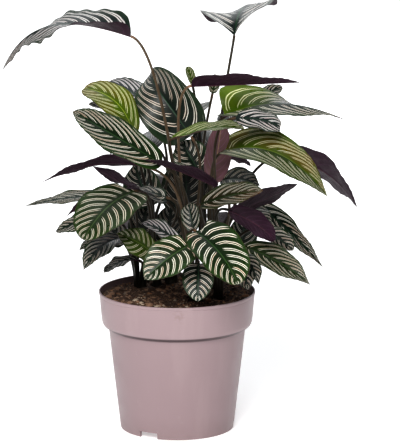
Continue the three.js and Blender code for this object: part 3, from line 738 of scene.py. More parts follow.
def leaf_upper():
    finish = Finish("leaf_upper")
    at = vein_pattern(finish)
    line, tint, from_vein, fade = stripes(finish, at)
    ground = leaf_ground(finish, at, from_vein, fade)
    fine = finish.math("SINE", finish.math("MULTIPLY", at.number, VEIN_LINES))
    ground = finish.mix(finish.math("MULTIPLY_ADD", fine, 0.035, 0.035), ground, GREEN.fine_lines)
    by_midrib = finish.mix(at.youth, *GREEN.by_midrib)
    ground = finish.mix(finish.step(at.out, 0.0, 0.3, 0.55, 0.0), ground, by_midrib)
    # Painted sheen greys the ground and whitens the stripes of a glossy leaf, as a reflection would.
    ground = finish.mix(finish.math("MULTIPLY", at.silver, 0.4), ground, PAINTED_SHEEN_GREY)
    cream = finish.mix(finish.math("POWER", tint, 2.0), *CREAM)
    cream = finish.mix(at.youth, cream, YOUNG_CREAM)
    cream = finish.mix(at.silver, cream, PAINTED_SHEEN_CREAM)
    striped = finish.mix(line, ground, cream)
    midrib = finish.mix(at.youth, *GREEN.midrib)
    striped = finish.mix(finish.step(at.out, 0.012, 0.035, 0.8, 0.0), striped, midrib)
    striped = finish.mix(finish.step(at.out, 0.975, 0.995, 0.0, 0.7), striped, GREEN.edge)
    colour = dimmed(finish, at, striped)
    rough = finish.step(finish.noise(140, 3), 0.3, 0.7, 0.27, 0.4)
    height = finish.math("ADD", finish.math("MULTIPLY", fine, 0.25), finish.math("MULTIPLY", line, -0.6))
    height = finish.math("ADD", height, finish.math("MULTIPLY", finish.noise(420, 2), 0.7))
    face = finish.surface(colour, rough, finish.bump(height, 0.00016), **{"Specular IOR Level": 0.4})
    through = finish.mix(0.6, colour, finish.mix(at.youth, *GREEN.through))
    glow = finish.node("ShaderNodeBsdfTranslucent", {"Color": through}).outputs[0]
    share = finish.math("MULTIPLY_ADD", at.youth, THROUGH_LEAF, THROUGH_LEAF / 3)
    return finish.done(finish.node("ShaderNodeMixShader", {0: share, 1: face, 2: glow}).outputs[0])


def leaf_under():
    finish = Finish("leaf_under")
    at = vein_pattern(finish)
    patchy = finish.noise(48, 4)
    pale = finish.mix(patchy, *PALE_UNDERSIDE)
    ground = finish.mix(finish.math("MULTIPLY", at.youth, 0.6), finish.mix(patchy, *PURPLE), pale)
    from_vein = finish.math("ABSOLUTE", finish.math("SUBTRACT", at.inside, 0.5))
    ground = finish.mix(finish.step(from_vein, 0.0, 0.1, 0.35, 0.0), ground, PURPLE_VEIN)
    midrib = finish.mix(at.youth, *PURPLE_MIDRIB)
    ground = finish.mix(finish.step(at.out, 0.015, 0.05, 0.6, 0.0), ground, midrib)
    colour = dimmed(finish, at, ground)
    rough = finish.step(finish.noise(120, 3), 0.3, 0.7, 0.42, 0.58)
    fine = finish.math("SINE", finish.math("MULTIPLY", at.number, VEIN_LINES))
    height = finish.math("ADD", finish.math("MULTIPLY", fine, 0.4), finish.noise(300, 3))
    face = finish.surface(colour, rough, finish.bump(height, 0.00018), **{"Specular IOR Level": 0.35})
    glow = finish.node("ShaderNodeBsdfTranslucent", {"Color": PURPLE_THROUGH}).outputs[0]
    share = finish.math("MULTIPLY_ADD", at.youth, 0.06, 0.08)
    return finish.done(finish.node("ShaderNodeMixShader", {0: share, 1: face, 2: glow}).outputs[0])


LEAF_FINISHES = [leaf_upper(), leaf_under()]
print("leaf finishes:", [len(m.node_tree.nodes) for m in LEAF_FINISHES], "nodes")

# %% [markdown]
# ## All blades
#
# Every blade is now one call. The names count up in the order of the table, as the solids do, so
# each blade stands for the solid of its own number. A joined blade, one of the small ones low in
# the plant, stands for its shoot's solid together with that shoot's stalks.

# %% Blades
draw = random.Random(41)
pieces = []  # (piece, the solid it stands for, its material slot)


def traits_along(blade):
    """Youth, a number of its own, blush and brightness for each point of one face; the brightness is partly
    the leaf's own tone and partly painted light and shade.
    """
    ease = ALONG[:, None] ** 1.3 * np.ones(len(ACROSS))[None, :]
    on_left = (ACROSS < 0)[None, :] * np.ones_like(ease, bool)
    left = blade.left or blade.youth
    start = np.where(on_left, left[0], blade.youth[0])
    end = np.where(on_left, left[1], blade.youth[1])
    youth = np.clip(start + (end - start) * ease, 0, 1)
    blush = blade.blush[0] + (blade.blush[1] - blade.blush[0]) * ease**4
    blush = np.where(on_left | (blade.left is None), blush, 0)
    own = draw.random()
    # Brightness is partly the leaf's own tone and partly painted light and shade.
    bright = np.full_like(ease, blade.bright * draw.uniform(0.9, 1.1))
    return np.stack([youth, np.full_like(ease, own), blush, bright], axis=-1).ravel()


separate = [blade for shoot in PLANT.values() for blade in shoot.leaves if not blade.joined]
joined = [(name, blade) for name, shoot in PLANT.items() for blade in shoot.leaves if blade.joined]
for number, blade in enumerate(separate, 1):
    blade.traits = traits_along(blade)
    piece = blade_piece(f"blade_{number:02d}", blade, LEAF_FINISHES)
    pieces.append((piece, f"leaf_{number:02d}", "leaf_young" if blade.tone == "young" else "leaf_dark"))
for number, (name, blade) in enumerate(joined, 1):
    blade.traits = traits_along(blade)
    piece = blade_piece(f"blade_joined_{number}", blade, LEAF_FINISHES)
    pieces.append((piece, "stalks_" + name, "leaf_dark"))
print(len(pieces), "blades with", sum(len(p.data.polygons) for p, _, _ in pieces), "faces")

# %% [markdown]
# ## Stalks
#
# A stalk is a round tube that gets thinner upwards and swells a little just under its blade,
# where the real leaf has the joint that turns it to the light. Geometry Nodes suit a tube along a
# path: the script only lays the paths, with the thickness stored on their points, and one small
# tree sweeps a circle along all of them.

# %% Stalk measures
SOIL_TOP = 163.5
STALK_FOOT = 2.6
STALK_RING = 4.5  # how far from its crown's middle a stalk rises
STALK_STEPS = 30
CROWN = SimpleNamespace(radius=9, neck=6.3, deep=24, proud=5)
JOINT = SimpleNamespace(swell=0.3, below=6, long=5)  # the joint under a blade
SHEATH = SimpleNamespace(swell=0.5, share=0.06)  # at a stalk's foot
LONGEST_NECK = 45  # the stretch in which a stalk bends into its blade's midrib



def stalk_curve(shoot, blade):
    """The Bezier curve of a stalk, from its crown up into the line of its blade's midrib."""
    control, _ = midrib_of(blade)
    start = unit(control[1] - control[0])
    end = control[0] - start * GAP / 2
    out = np.array([end[0] - shoot.at[0], end[1] - shoot.at[1], 0.0])
    foot = np.array([*shoot.at, SOIL_TOP]) + unit(out) * STALK_RING
    first = foot + [*blade.lean, 0] + out * 0.12
    first[2] += 0.55 * (end[2] - SOIL_TOP)
    neck = min(LONGEST_NECK, blade.neck * np.linalg.norm(end - foot))
    return foot, first, end - start * neck, end


def stalk_paths(name, shoot):
    """A mesh of bare edges, one chain for each stalk, with what the sweep needs on its points."""
    points, edges, thick, along, own = [], [], [], [], []
    u = np.linspace(0, 1, STALK_STEPS)
    for blade in shoot.leaves:
        curve, _ = on_curve(stalk_curve(shoot, blade), u)
        first = len(points)
        edges += [(first + i, first + i + 1) for i in range(STALK_STEPS - 1)]
        points += list(curve * MM)
        left = (1 - u) * np.linalg.norm(curve[-1] - curve[0])
        joint = JOINT.swell * np.exp(-(((left - JOINT.below) / JOINT.long) ** 2))
        sheath = SHEATH.swell * np.exp(-u / SHEATH.share)
        thick += list((STALK_FOOT + (STALK_TOP - STALK_FOOT) * np.sqrt(u) + joint + sheath) * MM)
        along += list(u)
        own += [blade.stem if blade.stem is not None else draw.uniform(0.0, 0.2)] * STALK_STEPS
    mesh = bpy.data.meshes.new(name)
    mesh.from_pydata([tuple(p) for p in points], edges, [])
    for label, values in (("thickness", thick), ("along", along), ("own", own)):
        mesh.attributes.new(label, "FLOAT", "POINT").data.foreach_set("value", values)
    paths = bpy.data.objects.new(name, mesh)
    bpy.context.collection.objects.link(paths)
    return paths


# %% [markdown]
# ## Writing a geometry tree
#
# A tree is easier to read when it is written like a sum: each line makes one node and names what
# comes out of it. The helpers below make a tree with named inputs, add a node, and run a finished
# tree on an object. What runs leaves a plain mesh, so nothing later depends on the tree.

# %% Geometry Nodes helpers
def new_tree(name, **inputs):
    """A geometry tree with named inputs: (socket type, value) each."""
    tree = bpy.data.node_groups.new(name, "GeometryNodeTree")
    tree.interface.new_socket("Geometry", in_out="INPUT", socket_type="NodeSocketGeometry")
    for label, (kind, value) in inputs.items():
        plain, kind = label.replace("_", " "), "NodeSocket" + kind
        socket = tree.interface.new_socket(plain, in_out="INPUT", socket_type=kind)
        if value is not None:
            socket.default_value = value
    tree.interface.new_socket("Geometry", in_out="OUTPUT", socket_type="NodeSocketGeometry")
    return tree, tree.nodes.new("NodeGroupInput").outputs, tree.nodes.new("NodeGroupOutput")


def add(tree, kind, values=(), **settings):
    made = tree.nodes.new(kind)
    for key, value in settings.items():
        setattr(made, key, value)
    for key, value in dict(values).items():
        if isinstance(value, bpy.types.NodeSocket):
            tree.links.new(value, made.inputs[key])
        else:
            made.inputs[key].default_value = value
    return made


def calc(tree, operation, *values):
    return add(tree, "ShaderNodeMath", enumerate(values), operation=operation).outputs[0]


def stored(tree, label):
    """A number that the script has stored on the points."""
    return add(tree, "GeometryNodeInputNamedAttribute", {"Name": label}, data_type="FLOAT").outputs[0]


def finished(tree, geometry, material, result):
    """How each tree here ends: smooth faces, real geometry, and the material."""
    smooth = add(tree, "GeometryNodeSetShadeSmooth", {"Geometry": geometry}).outputs[0]
    real = add(tree, "GeometryNodeRealizeInstances", {0: smooth}).outputs[0]
    painted = add(tree, "GeometryNodeSetMaterial", {"Geometry": real, "Material": material}).outputs[0]
    tree.links.new(painted, result.inputs[0])


def bake(source, tree, name, **inputs):
    """Runs a tree on an object and returns the result as a plain mesh; the source is removed."""
    modifier = source.modifiers.new(tree.name, "NODES")
    modifier.node_group = tree
    for socket in tree.interface.items_tree:
        label = socket.name.replace(" ", "_")
        if socket.in_out == "INPUT" and label in inputs:
            modifier[socket.identifier] = inputs[label]
    ready = source.evaluated_get(bpy.context.evaluated_depsgraph_get())
    piece = bpy.data.objects.new(name, bpy.data.meshes.new_from_object(ready))
    bpy.context.collection.objects.link(piece)
    piece.data.name = name
    bpy.data.objects.remove(source)
    return piece


print("helpers for trees are ready")

# %% [markdown]
# ## The stalks' finish and the sweep
#
# The stalks are dark olive-brown and a few are tan, and the joint under a blade is the lightest.
# Low in the plant, where the leaves shade them, the tan is painted over with shade, so it shows
# only where a stalk rises above the leaves. The sweep reads the thickness that the paths carry,
# so the same circle serves every stalk.

# %% Stalk finish and sweep
def stalk_finish():
    finish = Finish("stalk")
    along = finish.node("ShaderNodeAttribute", attribute_name="along").outputs["Fac"]
    own = finish.node("ShaderNodeAttribute", attribute_name="own").outputs["Fac"]
    streak = finish.noise(260, 3, place=finish.stretched((1, 1, 0.08)))
    green = finish.mix(streak, rgb(20, 19, 13), rgb(45, 40, 27))
    tan = finish.mix(streak, rgb(84, 66, 47), rgb(134, 109, 84))
    height = finish.node("ShaderNodeSeparateXYZ", {0: finish.place}).outputs[2]
    # Painted shade: low in the plant, where leaves shade the stalks, a stalk's tan is mostly painted out.
    free_of_painted_shade = finish.step(height, 0.22, 0.36, 0.25, 1.0)
    colour = finish.mix(finish.math("MULTIPLY", own, free_of_painted_shade), green, tan)
    joint = finish.math("MULTIPLY", finish.step(along, 0.93, 0.97), own)
    colour = finish.mix(joint, colour, rgb(140, 102, 76))
    rough = finish.step(streak, 0.3, 0.7, 0.4, 0.55)
    normal = finish.bump(finish.noise(700, 2, place=finish.stretched((1, 1, 0.1))), 0.00012)
    return finish.done(finish.surface(colour, rough, normal, **{"Specular IOR Level": 0.3}))


def sweep_tree():
    tree, given, result = new_tree(
        "stalk_sweep", Facets=("Int", 12), Thickness_times=("Float", 1.0), Finish=("Material", None))
    path = add(tree, "GeometryNodeMeshToCurve", {0: given["Geometry"]}).outputs[0]
    values = {"Resolution": given["Facets"], "Radius": 1.0}
    circle = add(tree, "GeometryNodeCurvePrimitiveCircle", values).outputs[0]
    scale = calc(tree, "MULTIPLY", stored(tree, "thickness"), given["Thickness times"])
    values = {"Curve": path, "Profile Curve": circle, "Scale": scale, "Fill Caps": True}
    tube = add(tree, "GeometryNodeCurveToMesh", values).outputs[0]
    finished(tree, tube, given["Finish"], result)
    return tree


STALK_FINISH = stalk_finish()
SWEEP = sweep_tree()
print("sweep inputs:", [s.name for s in SWEEP.interface.items_tree if s.in_out == "INPUT"])

# %% [markdown]
# ## Crowns
#
# The stalks of one shoot rise from a short, blunt crown that stands in the soil. It is a small
# turned form, so a ring of points per height is enough, and its mesh is put into the same object
# as its stalks, because on the plant they are grown together.

# %% Stalks and crowns
CROWN_SIDES = 24
FLUTES = 6  # shallow folds round a crown, where the stalks' sheaths meet


def turned_points(profile, sides, centre=(0, 0)):
    """Rings of points round +Z for each (radius, height) of a profile, in millimetres."""
    turns = np.arange(sides) * math.tau / sides
    r, z = np.array(profile, float).T
    x = centre[0] + r[:, None] * np.cos(turns)
    y = centre[1] + r[:, None] * np.sin(turns)
    return np.stack([x, y, np.broadcast_to(z[:, None], x.shape)], axis=-1)


def ring_faces(rows, sides):
    """Quads between rings, facing outwards for a profile that runs anticlockwise from the axis."""
    faces = []
    for i in range(rows - 1):
        for j in range(sides):
            a, b = i * sides + j, i * sides + (j + 1) % sides
            faces.append((a, b, b + sides, a + sides))
    return faces


def crown_mesh(shoot):
    """Points and faces of a shoot's crown, which stands deep in the soil and a little proud of it."""
    bottom = SOIL_TOP - CROWN.deep
    top = SOIL_TOP + CROWN.proud
    profile = [(6.0, bottom), (8.4, bottom + 1), (CROWN.radius - 0.2, bottom + 4), (8.2, SOIL_TOP - 6)]
    profile += [(7.2, SOIL_TOP - 1), (CROWN.neck + 0.2, SOIL_TOP + 2), (5.4, top - 1), (3.4, top)]
    rings = turned_points(profile, CROWN_SIDES, shoot.at)
    turns = np.arange(CROWN_SIDES) * math.tau / CROWN_SIDES
    flute = 1 - 0.05 * (1 + np.cos(FLUTES * turns))
    centre = np.array(shoot.at, float)
    rings[..., :2] = centre + (rings[..., :2] - centre) * flute[None, :, None]
    last = (len(profile) - 1) * CROWN_SIDES
    caps = [tuple(range(CROWN_SIDES - 1, -1, -1)), tuple(range(last, last + CROWN_SIDES))]
    return rings.reshape(-1, 3), ring_faces(len(profile), CROWN_SIDES) + caps


def join_meshes(name, piece, extra):
    """Adds another object's mesh to a piece and removes that object."""
    bpy.ops.object.select_all(action="DESELECT")
    extra.select_set(True)
    piece.select_set(True)
    bpy.context.view_layer.objects.active = piece
    bpy.ops.object.join()
    piece.name = name
    return piece


for name, shoot in PLANT.items():
    paths = stalk_paths("paths_" + name, shoot)
    sizes = dict(Facets=12, Thickness_times=1.0)
    tubes = bake(paths, SWEEP, "stalks_and_crown_" + name, Finish=STALK_FINISH, **sizes)
    points, faces = crown_mesh(shoot)
    crown = mesh_piece("crown_" + name, points, faces, [STALK_FINISH])
    piece = join_meshes(tubes.name, tubes, crown)
    pieces.append((piece, "stalks_" + name, "stalk"))
    print(name, "shoot:", len(shoot.leaves), "stalks,", len(piece.data.polygons), "faces")

# %% [markdown]
# ## The pot's measures
#
# The pot is turned: one outline in radius and height describes it all, inside and out. The soil
# needs the inner face before the pot itself is made, so the outline's main sizes come here.

# %% Pot and soil measures
RIM_RADIUS = 95
POT_HEIGHT = 170
FOOT_RADIUS = 69
STEP_RADIUS = 83.2
COLLAR_RADIUS = 91.7
LIP_LOW, LIP_TOP = 129, 137
WALL = 1.8
FLOOR_HEIGHT = 9
POT_SIDES = 180
SOIL_DROP = 1  # how much lower the soil lies at the wall
SOIL_RINGS = 64


def inner_face(offset):
    """The pot's inner face as (radius, height) from the floor up, offset inwards."""
    inwards = WALL + offset
    return [
        (FOOT_RADIUS + 0.8 - inwards, FLOOR_HEIGHT + inwards), (STEP_RADIUS - inwards, LIP_LOW - 0.8),
        (COLLAR_RADIUS - inwards, LIP_TOP + 0.8), (RIM_RADIUS - inwards, POT_HEIGHT)]


def wall_radius(height):
    """How far from the axis the soil meets the wall at a height, with its gap."""
    r, z = np.array(inner_face(GAP)).T
    return float(np.interp(height, z, r))


print("the soil meets the wall at", round(wall_radius(SOIL_TOP), 1), "mm from the axis")

# %% [markdown]
# ## Soil
#
# Potting soil is peat with fibres and bits of bark in it. Its surface has broad hollows, and on
# them a fine crumb. The broad form is a fine disc lifted by the same ripples as the solid, with
# some noise on top. A hole is left for each crown, so that nothing passes through anything else.

# %% Soil body
def relief(x, y):
    """Broad ripples in mm, the same as the solid's."""
    return 1.4 * np.sin(0.19 * x + 1.3) * np.cos(0.23 * y) + 0.9 * np.sin(0.41 * x - 0.37 * y)


CLODS_PER_MM, CLOD_HEIGHT = 0.12, 1.1


def clod(x, y):
    return noise.fractal((x * CLODS_PER_MM, y * CLODS_PER_MM, 4.0), 0.9, 2.1, 4)


def soil_height(x, y):
    """Height of the soil's surface in mm: ripples, clods, and a slight fall at the wall."""
    edge = wall_radius(SOIL_TOP)
    clods = CLOD_HEIGHT * np.vectorize(clod)(x, y)
    near_wall = np.clip((np.hypot(x, y) / edge - 0.9) / 0.1, 0, 1)
    return SOIL_TOP + (relief(x, y) + clods) * (1 - near_wall) - SOIL_DROP * near_wall


def soil_top():
    """Points of the surface: rings from the wall inwards, and the middle last."""
    edge = wall_radius(SOIL_TOP - SOIL_DROP)
    shares = np.arange(SOIL_RINGS, 0, -1) / SOIL_RINGS
    rings = turned_points([(edge * share, 0) for share in shares], POT_SIDES)
    rings[..., 2] = soil_height(rings[..., 0], rings[..., 1])
    middle = [[0, 0, float(soil_height(0.0, 0.0))]]
    return np.concatenate([rings.reshape(-1, 3), middle])


def disc_faces(rows):
    """Faces of rings that end in one middle point."""
    last = (rows - 1) * POT_SIDES
    fan = [(last + j, last + (j + 1) % POT_SIDES, last + POT_SIDES) for j in range(POT_SIDES)]
    return ring_faces(rows, POT_SIDES) + fan


def soil_mesh():
    low, step, lip, _ = inner_face(GAP)
    side = turned_points([low, step, lip], POT_SIDES).reshape(-1, 3)
    points = np.concatenate([side, soil_top()])
    underside = tuple(range(POT_SIDES - 1, -1, -1))
    return points, [*disc_faces(3 + SOIL_RINGS), underside]


points, faces = soil_mesh()
print("soil surface:", len(points), "points, from", round(points[:, 2].min(), 1), "mm up")

# %% [markdown]
# ## The soil's finish
#
# Damp peat is dark brown and quite matt. Two sizes of noise give its patches and its crumb, and
# small light specks stand for bits of bark. The fine noise also lifts the surface a little, so a
# light crumb also stands higher and catches the light.

# %% Soil finish
def soil_finish():
    finish = Finish("soil_ground")
    coarse = finish.noise(60, 5)
    fine = finish.noise(420, 4)
    ground = finish.mix(coarse, rgb(34, 25, 19), rgb(112, 86, 68))
    ground = finish.mix(finish.step(fine, 0.5, 0.75), ground, rgb(142, 112, 88))
    specks = finish.node("ShaderNodeTexVoronoi", {"Vector": finish.place, "Scale": 500}).outputs
    chance = finish.node("ShaderNodeSeparateColor", {0: specks["Color"]}).outputs[0]
    speck = finish.step(specks["Distance"], 0.05, 0.25, 0.7, 0.0)
    speck = finish.math("MULTIPLY", speck, finish.math("GREATER_THAN", chance, 0.86))
    ground = finish.mix(speck, ground, rgb(150, 114, 84))
    height = finish.math("ADD", finish.noise(150, 5), finish.math("MULTIPLY", fine, 0.5))
    return finish.done(finish.surface(ground, 0.92, finish.bump(height, 0.0022)))


SOIL_FINISH = soil_finish()
print("soil finish:", len(SOIL_FINISH.node_tree.nodes), "nodes")

# %% [markdown]
# ## Cutting with plain forms
#
# A hole is cut the way it is drilled: a plain closed form is placed where the material has to go,
# and a boolean takes it away. The form is removed afterwards. The pot's drain holes and notches
# are cut in the same way further down.

# %% The soil and its holes
def rod(name, radius, low, high, centre, sides=32):
    """A plain closed cylinder, used as a cutter."""
    points = turned_points([(radius, low), (radius, high)], sides, centre).reshape(-1, 3)
    caps = [tuple(range(sides - 1, -1, -1)), tuple(range(sides, 2 * sides))]
    return mesh_piece(name, points, ring_faces(2, sides) + caps, [], smooth=False)


def cut(piece, cutters):
    """Takes the cutters' forms out of a piece and removes the cutters."""
    for cutter in cutters:
        step = piece.modifiers.new("cut", "BOOLEAN")
        step.object = cutter
        step.operation = "DIFFERENCE"
        step.solver = "EXACT"
    ready = piece.evaluated_get(bpy.context.evaluated_depsgraph_get())
    mesh = bpy.data.meshes.new_from_object(ready)
    piece.modifiers.clear()
    piece.data = mesh
    mesh.name = piece.name
    for cutter in cutters:
        bpy.data.objects.remove(cutter)


soil = mesh_piece("soil_body", points, faces, [SOIL_FINISH])
HOLE = CROWN.radius + GAP
hole_low, hole_high = SOIL_TOP - CROWN.deep - GAP, SOIL_TOP + 20
cut(soil, [rod("hole_" + name, HOLE, hole_low, hole_high, shoot.at) for name, shoot in PLANT.items()])
soil.data.set_sharp_from_angle(angle=math.radians(50))
pieces.append((soil, "soil", "soil"))
highest = max(v.co.z for v in soil.data.vertices)
print("soil:", len(soil.data.polygons), "faces, top at", round(highest, 4), "m")

# %% [markdown]
# ## Crumbs, chips and fibres
#
# What makes soil look like soil is its loose bits. They repeat by the thousand and follow the
# surface, which is work for Geometry Nodes: points are scattered over the top, each gets a lump
# with a turn and a size of its own, and noise roughens the lumps after they are made real. The
# density falls to nothing at the wall and round the crowns, so that no bit sits inside a
# neighbour.

# %% Where loose bits may lie
def open_ground(x, y, margin):
    """1 where a loose bit may lie, 0 at the wall and round the crowns."""
    free = np.hypot(x, y) < wall_radius(SOIL_TOP) - margin
    for shoot in PLANT.values():
        free &= np.hypot(x - shoot.at[0], y - shoot.at[1]) > HOLE + margin
    return free.astype(float)


def ground_for(name, margin):
    """The soil's surface, marked where loose bits may lie."""
    top = soil_top()
    ground = mesh_piece(name, top, disc_faces(SOIL_RINGS), [])
    free = ground.data.attributes.new("free", "FLOAT", "POINT")
    free.data.foreach_set("value", open_ground(*top.T[:2], margin))
    return ground


print("bits may lie 40 mm left of the middle:", bool(open_ground(np.float64(-40), np.float64(0), 6)))

# %% [markdown]
# ## The scatter
#
# One tree makes every kind of bit; its named inputs say how many, how large, how long and how
# rough. Each lump keeps its size and a tint of its own as numbers on its points, because the
# roughening and the finish need them once the lumps are one mesh.

# %% Scatter tree
TILT = 0.35  # how far a bit leans at most, in radians
FULL_TURN = 6.283
FEW_LARGE = 2.5  # the higher, the fewer bits are large


def scatter_tree():
    """Scatters lumps over the free ground, each with its own size, turn, tint and roughness."""
    tree, given, result = new_tree(
        "loose_bits", Density=("Float", 60000.0), Small=("Float", 0.0006), Large=("Float", 0.002),
        Long=("Float", 1.0), Flat=("Float", 0.8), Roughness=("Float", 0.5), Sink=("Float", 0.2),
        Facets=("Int", 7), Seed=("Int", 1), Finish=("Material", None))
    seed = given["Seed"]
    free = stored(tree, "free")
    values = {"A": free, "B": 0.99}
    wholly = add(tree, "FunctionNodeCompare", values, data_type="FLOAT", operation="GREATER_THAN").outputs[0]
    values = {
        "Mesh": given["Geometry"], "Selection": wholly,
        "Density": calc(tree, "MULTIPLY", free, given["Density"]), "Seed": seed}
    spots = add(tree, "GeometryNodeDistributePointsOnFaces", values).outputs[0]

    values = {"Segments": given["Facets"], "Rings": 5, "Radius": 1.0}
    lump = add(tree, "GeometryNodeMeshUVSphere", values).outputs[0]
    values = {2: 0.0, 3: 1.0, "Seed": seed}
    chance = add(tree, "FunctionNodeRandomValue", values, data_type="FLOAT").outputs[1]
    values = {
        "Value": calc(tree, "POWER", chance, FEW_LARGE), "To Min": given["Small"], "To Max": given["Large"]}
    size = add(tree, "ShaderNodeMapRange", values).outputs[0]
    longer = calc(tree, "MULTIPLY", size, given["Long"])
    flatter = calc(tree, "MULTIPLY", size, given["Flat"])
    scale = add(tree, "ShaderNodeCombineXYZ", {0: longer, 1: size, 2: flatter}).outputs[0]
    values = {0: (-TILT, -TILT, 0.0), 1: (TILT, TILT, FULL_TURN), "Seed": seed}
    turn = add(tree, "FunctionNodeRandomValue", values, data_type="FLOAT_VECTOR").outputs[0]
    values = {"Points": spots, "Instance": lump, "Rotation": turn, "Scale": scale}
    bits = add(tree, "GeometryNodeInstanceOnPoints", values).outputs[0]

    values = {
        2: 0.0, 3: 1.0, "ID": add(tree, "GeometryNodeInputIndex").outputs[0],
        "Seed": calc(tree, "ADD", seed, 9.0)}
    tint = add(tree, "FunctionNodeRandomValue", values, data_type="FLOAT").outputs[1]
    for label, value in (("tint", tint), ("bit_size", flatter)):
        values = {"Geometry": bits, "Name": label, "Value": value}
        kept = add(tree, "GeometryNodeStoreNamedAttribute", values, data_type="FLOAT", domain="INSTANCE")
        bits = kept.outputs[0]
    real = add(tree, "GeometryNodeRealizeInstances", {0: bits}).outputs[0]

    own_size = stored(tree, "bit_size")
    rough = add(tree, "ShaderNodeTexNoise", {"Scale": 700.0, "Detail": 1.0}).outputs["Color"]
    centred = add(tree, "ShaderNodeVectorMath", {0: rough, 1: (0.5, 0.5, 0.5)}, operation="SUBTRACT")
    strength = calc(tree, "MULTIPLY", own_size, given["Roughness"])
    values = {0: centred.outputs[0], "Scale": strength}
    wobble = add(tree, "ShaderNodeVectorMath", values, operation="SCALE").outputs[0]
    down = calc(tree, "MULTIPLY", calc(tree, "MULTIPLY", own_size, given["Sink"]), -1.0)
    lower = add(tree, "ShaderNodeCombineXYZ", {2: down}).outputs[0]
    offset = add(tree, "ShaderNodeVectorMath", {0: wobble, 1: lower}, operation="ADD").outputs[0]
    moved = add(tree, "GeometryNodeSetPosition", {"Geometry": real, "Offset": offset}).outputs[0]
    finished(tree, moved, given["Finish"], result)
    return tree


SCATTER = scatter_tree()
print("scatter inputs:", [s.name for s in SCATTER.interface.items_tree if s.in_out == "INPUT"])

# %% [markdown]
# ## Peat, bark and fibres
#
# Most bits are dark peat, some are brown, and a few are pale bark or roots, so the finish picks a
# colour by the bit's own tint. The fibres use the same tree with lumps drawn out to fourteen
# times their width.

# %% Loose bits on the soil
def bits_finish(name, colours):
    """Colours are (the tint from which on it is used, dark, light)."""
    finish = Finish(name)
    tint = finish.node("ShaderNodeAttribute", attribute_name="tint").outputs["Fac"]
    grain = finish.noise(500, 3)
    colour = finish.mix(grain, colours[0][1], colours[0][2])
    for share, dark, light in colours[1:]:
        colour = finish.mix(finish.math("GREATER_THAN", tint, share), colour, finish.mix(grain, dark, light))
    return finish.done(finish.surface(colour, 0.85, finish.bump(finish.noise(1100, 3), 0.0005)))


CRUMBS = bits_finish("soil_crumb", [
    (0, rgb(34, 24, 18), rgb(92, 68, 54)), (0.55, rgb(100, 76, 60), rgb(176, 140, 112)),
    (0.86, rgb(120, 84, 58), rgb(178, 132, 96)), (0.94, rgb(160, 140, 118), rgb(214, 198, 176))])
BITS = [  # name, distance to the wall and the crowns in mm, inputs in metres
    ("crumbs_fine", 3.5, dict(Density=90000.0, Small=0.0006, Large=0.0016, Long=1.3, Flat=0.8, Seed=3)),
    ("crumbs_coarse", 6.0, dict(Density=20000.0, Small=0.0014, Large=0.0041, Long=1.4, Flat=0.7, Seed=8)),
    ("fibres", 12.0, dict(
        Density=9000.0, Small=0.00025, Large=0.0005, Long=14.0, Flat=1.0, Roughness=3.0, Sink=-1.0,
        Facets=5, Seed=5)),
]
for name, margin, given in BITS:
    ground = ground_for("ground_" + name, margin)
    piece = bake(ground, SCATTER, name, Finish=CRUMBS, **given)
    pieces.append((piece, "soil", "soil"))
    print(name + ":", len(piece.data.polygons), "faces")

# %% [markdown]
# ## The pot
#
# The nursery pot is thin moulded plastic: a tapered wall, a wide collar with a rounded lower lip,
# a narrow bead round the rim, notches in the foot ring and holes in its floor. Turning one
# outline gives the body. Corners of the outline are rounded first, because a moulded edge is
# never sharp and it is the rounding that catches the light.

# %% Pot body
def rounded(corners, steps=5):
    """An outline with its corners rounded; corners are (radius from the axis, height, rounding)."""
    outline = []
    for i, (x, z, size) in enumerate(corners):
        here = np.array((x, z), float)
        if size == 0 or i in (0, len(corners) - 1):
            outline.append(here)
            continue
        before = np.array(corners[i - 1][:2]) - here
        after = np.array(corners[i + 1][:2]) - here
        reach = min(size, np.linalg.norm(before) / 2, np.linalg.norm(after) / 2)
        start, end = here + unit(before) * reach, here + unit(after) * reach
        for t in np.linspace(0, 1, steps):
            outline.append((1 - t) ** 2 * start + 2 * t * (1 - t) * here + t * t * end)
    return outline


def pot_outline():
    """From the middle of the underside round the outside, over the rim, and down inside."""
    low, step, lip, rim = inner_face(0)
    foot_inside = FOOT_RADIUS - 2 * WALL
    outside = [(0, FLOOR_HEIGHT, 0), (foot_inside, FLOOR_HEIGHT, 0.6), (foot_inside, 0, 0.6)]
    outside += [(FOOT_RADIUS, 0, 1.0)]
    outside += [(STEP_RADIUS, LIP_LOW - 3.2, 1.2), (COLLAR_RADIUS - 2.3, LIP_LOW - 0.3, 2.0)]
    outside += [(COLLAR_RADIUS - 0.5, LIP_TOP - 4, 2.2), (COLLAR_RADIUS + 0.15, LIP_TOP + 2, 3.0)]
    bead = [(RIM_RADIUS - 0.95, POT_HEIGHT - 5.1, 0.4), (RIM_RADIUS - 1.25, POT_HEIGHT - 4.3, 0.3)]
    bead += [(RIM_RADIUS - 0.25, POT_HEIGHT - 3.4, 0.5), (RIM_RADIUS, POT_HEIGHT - 1.6, 0.9)]
    top = [(RIM_RADIUS - 0.3, POT_HEIGHT, 0.7), (rim[0], POT_HEIGHT, 0.5)]
    inside = [(*lip, 2.5), (*step, 2.5), (*low, 1.0), (0, low[1], 0)]
    return rounded(outside + bead + top + inside)


def pot_body():
    """The outline turned round the axis, closed in the middle below and above the floor."""
    outline = pot_outline()
    turned = turned_points(outline[1:-1], POT_SIDES).reshape(-1, 3)
    bottom, top = outline[0][1], outline[-1][1]
    points = np.concatenate([turned, [[0, 0, bottom], [0, 0, top]]])
    rows = len(outline) - 2
    faces = ring_faces(rows, POT_SIDES)
    last = (rows - 1) * POT_SIDES
    for j in range(POT_SIDES):
        k = (j + 1) % POT_SIDES
        faces.append((k, j, len(points) - 2))
        faces.append((last + j, last + k, len(points) - 1))
    return points, faces


points, faces = pot_body()
print("pot body:", len(points), "points round", POT_SIDES, "sides")
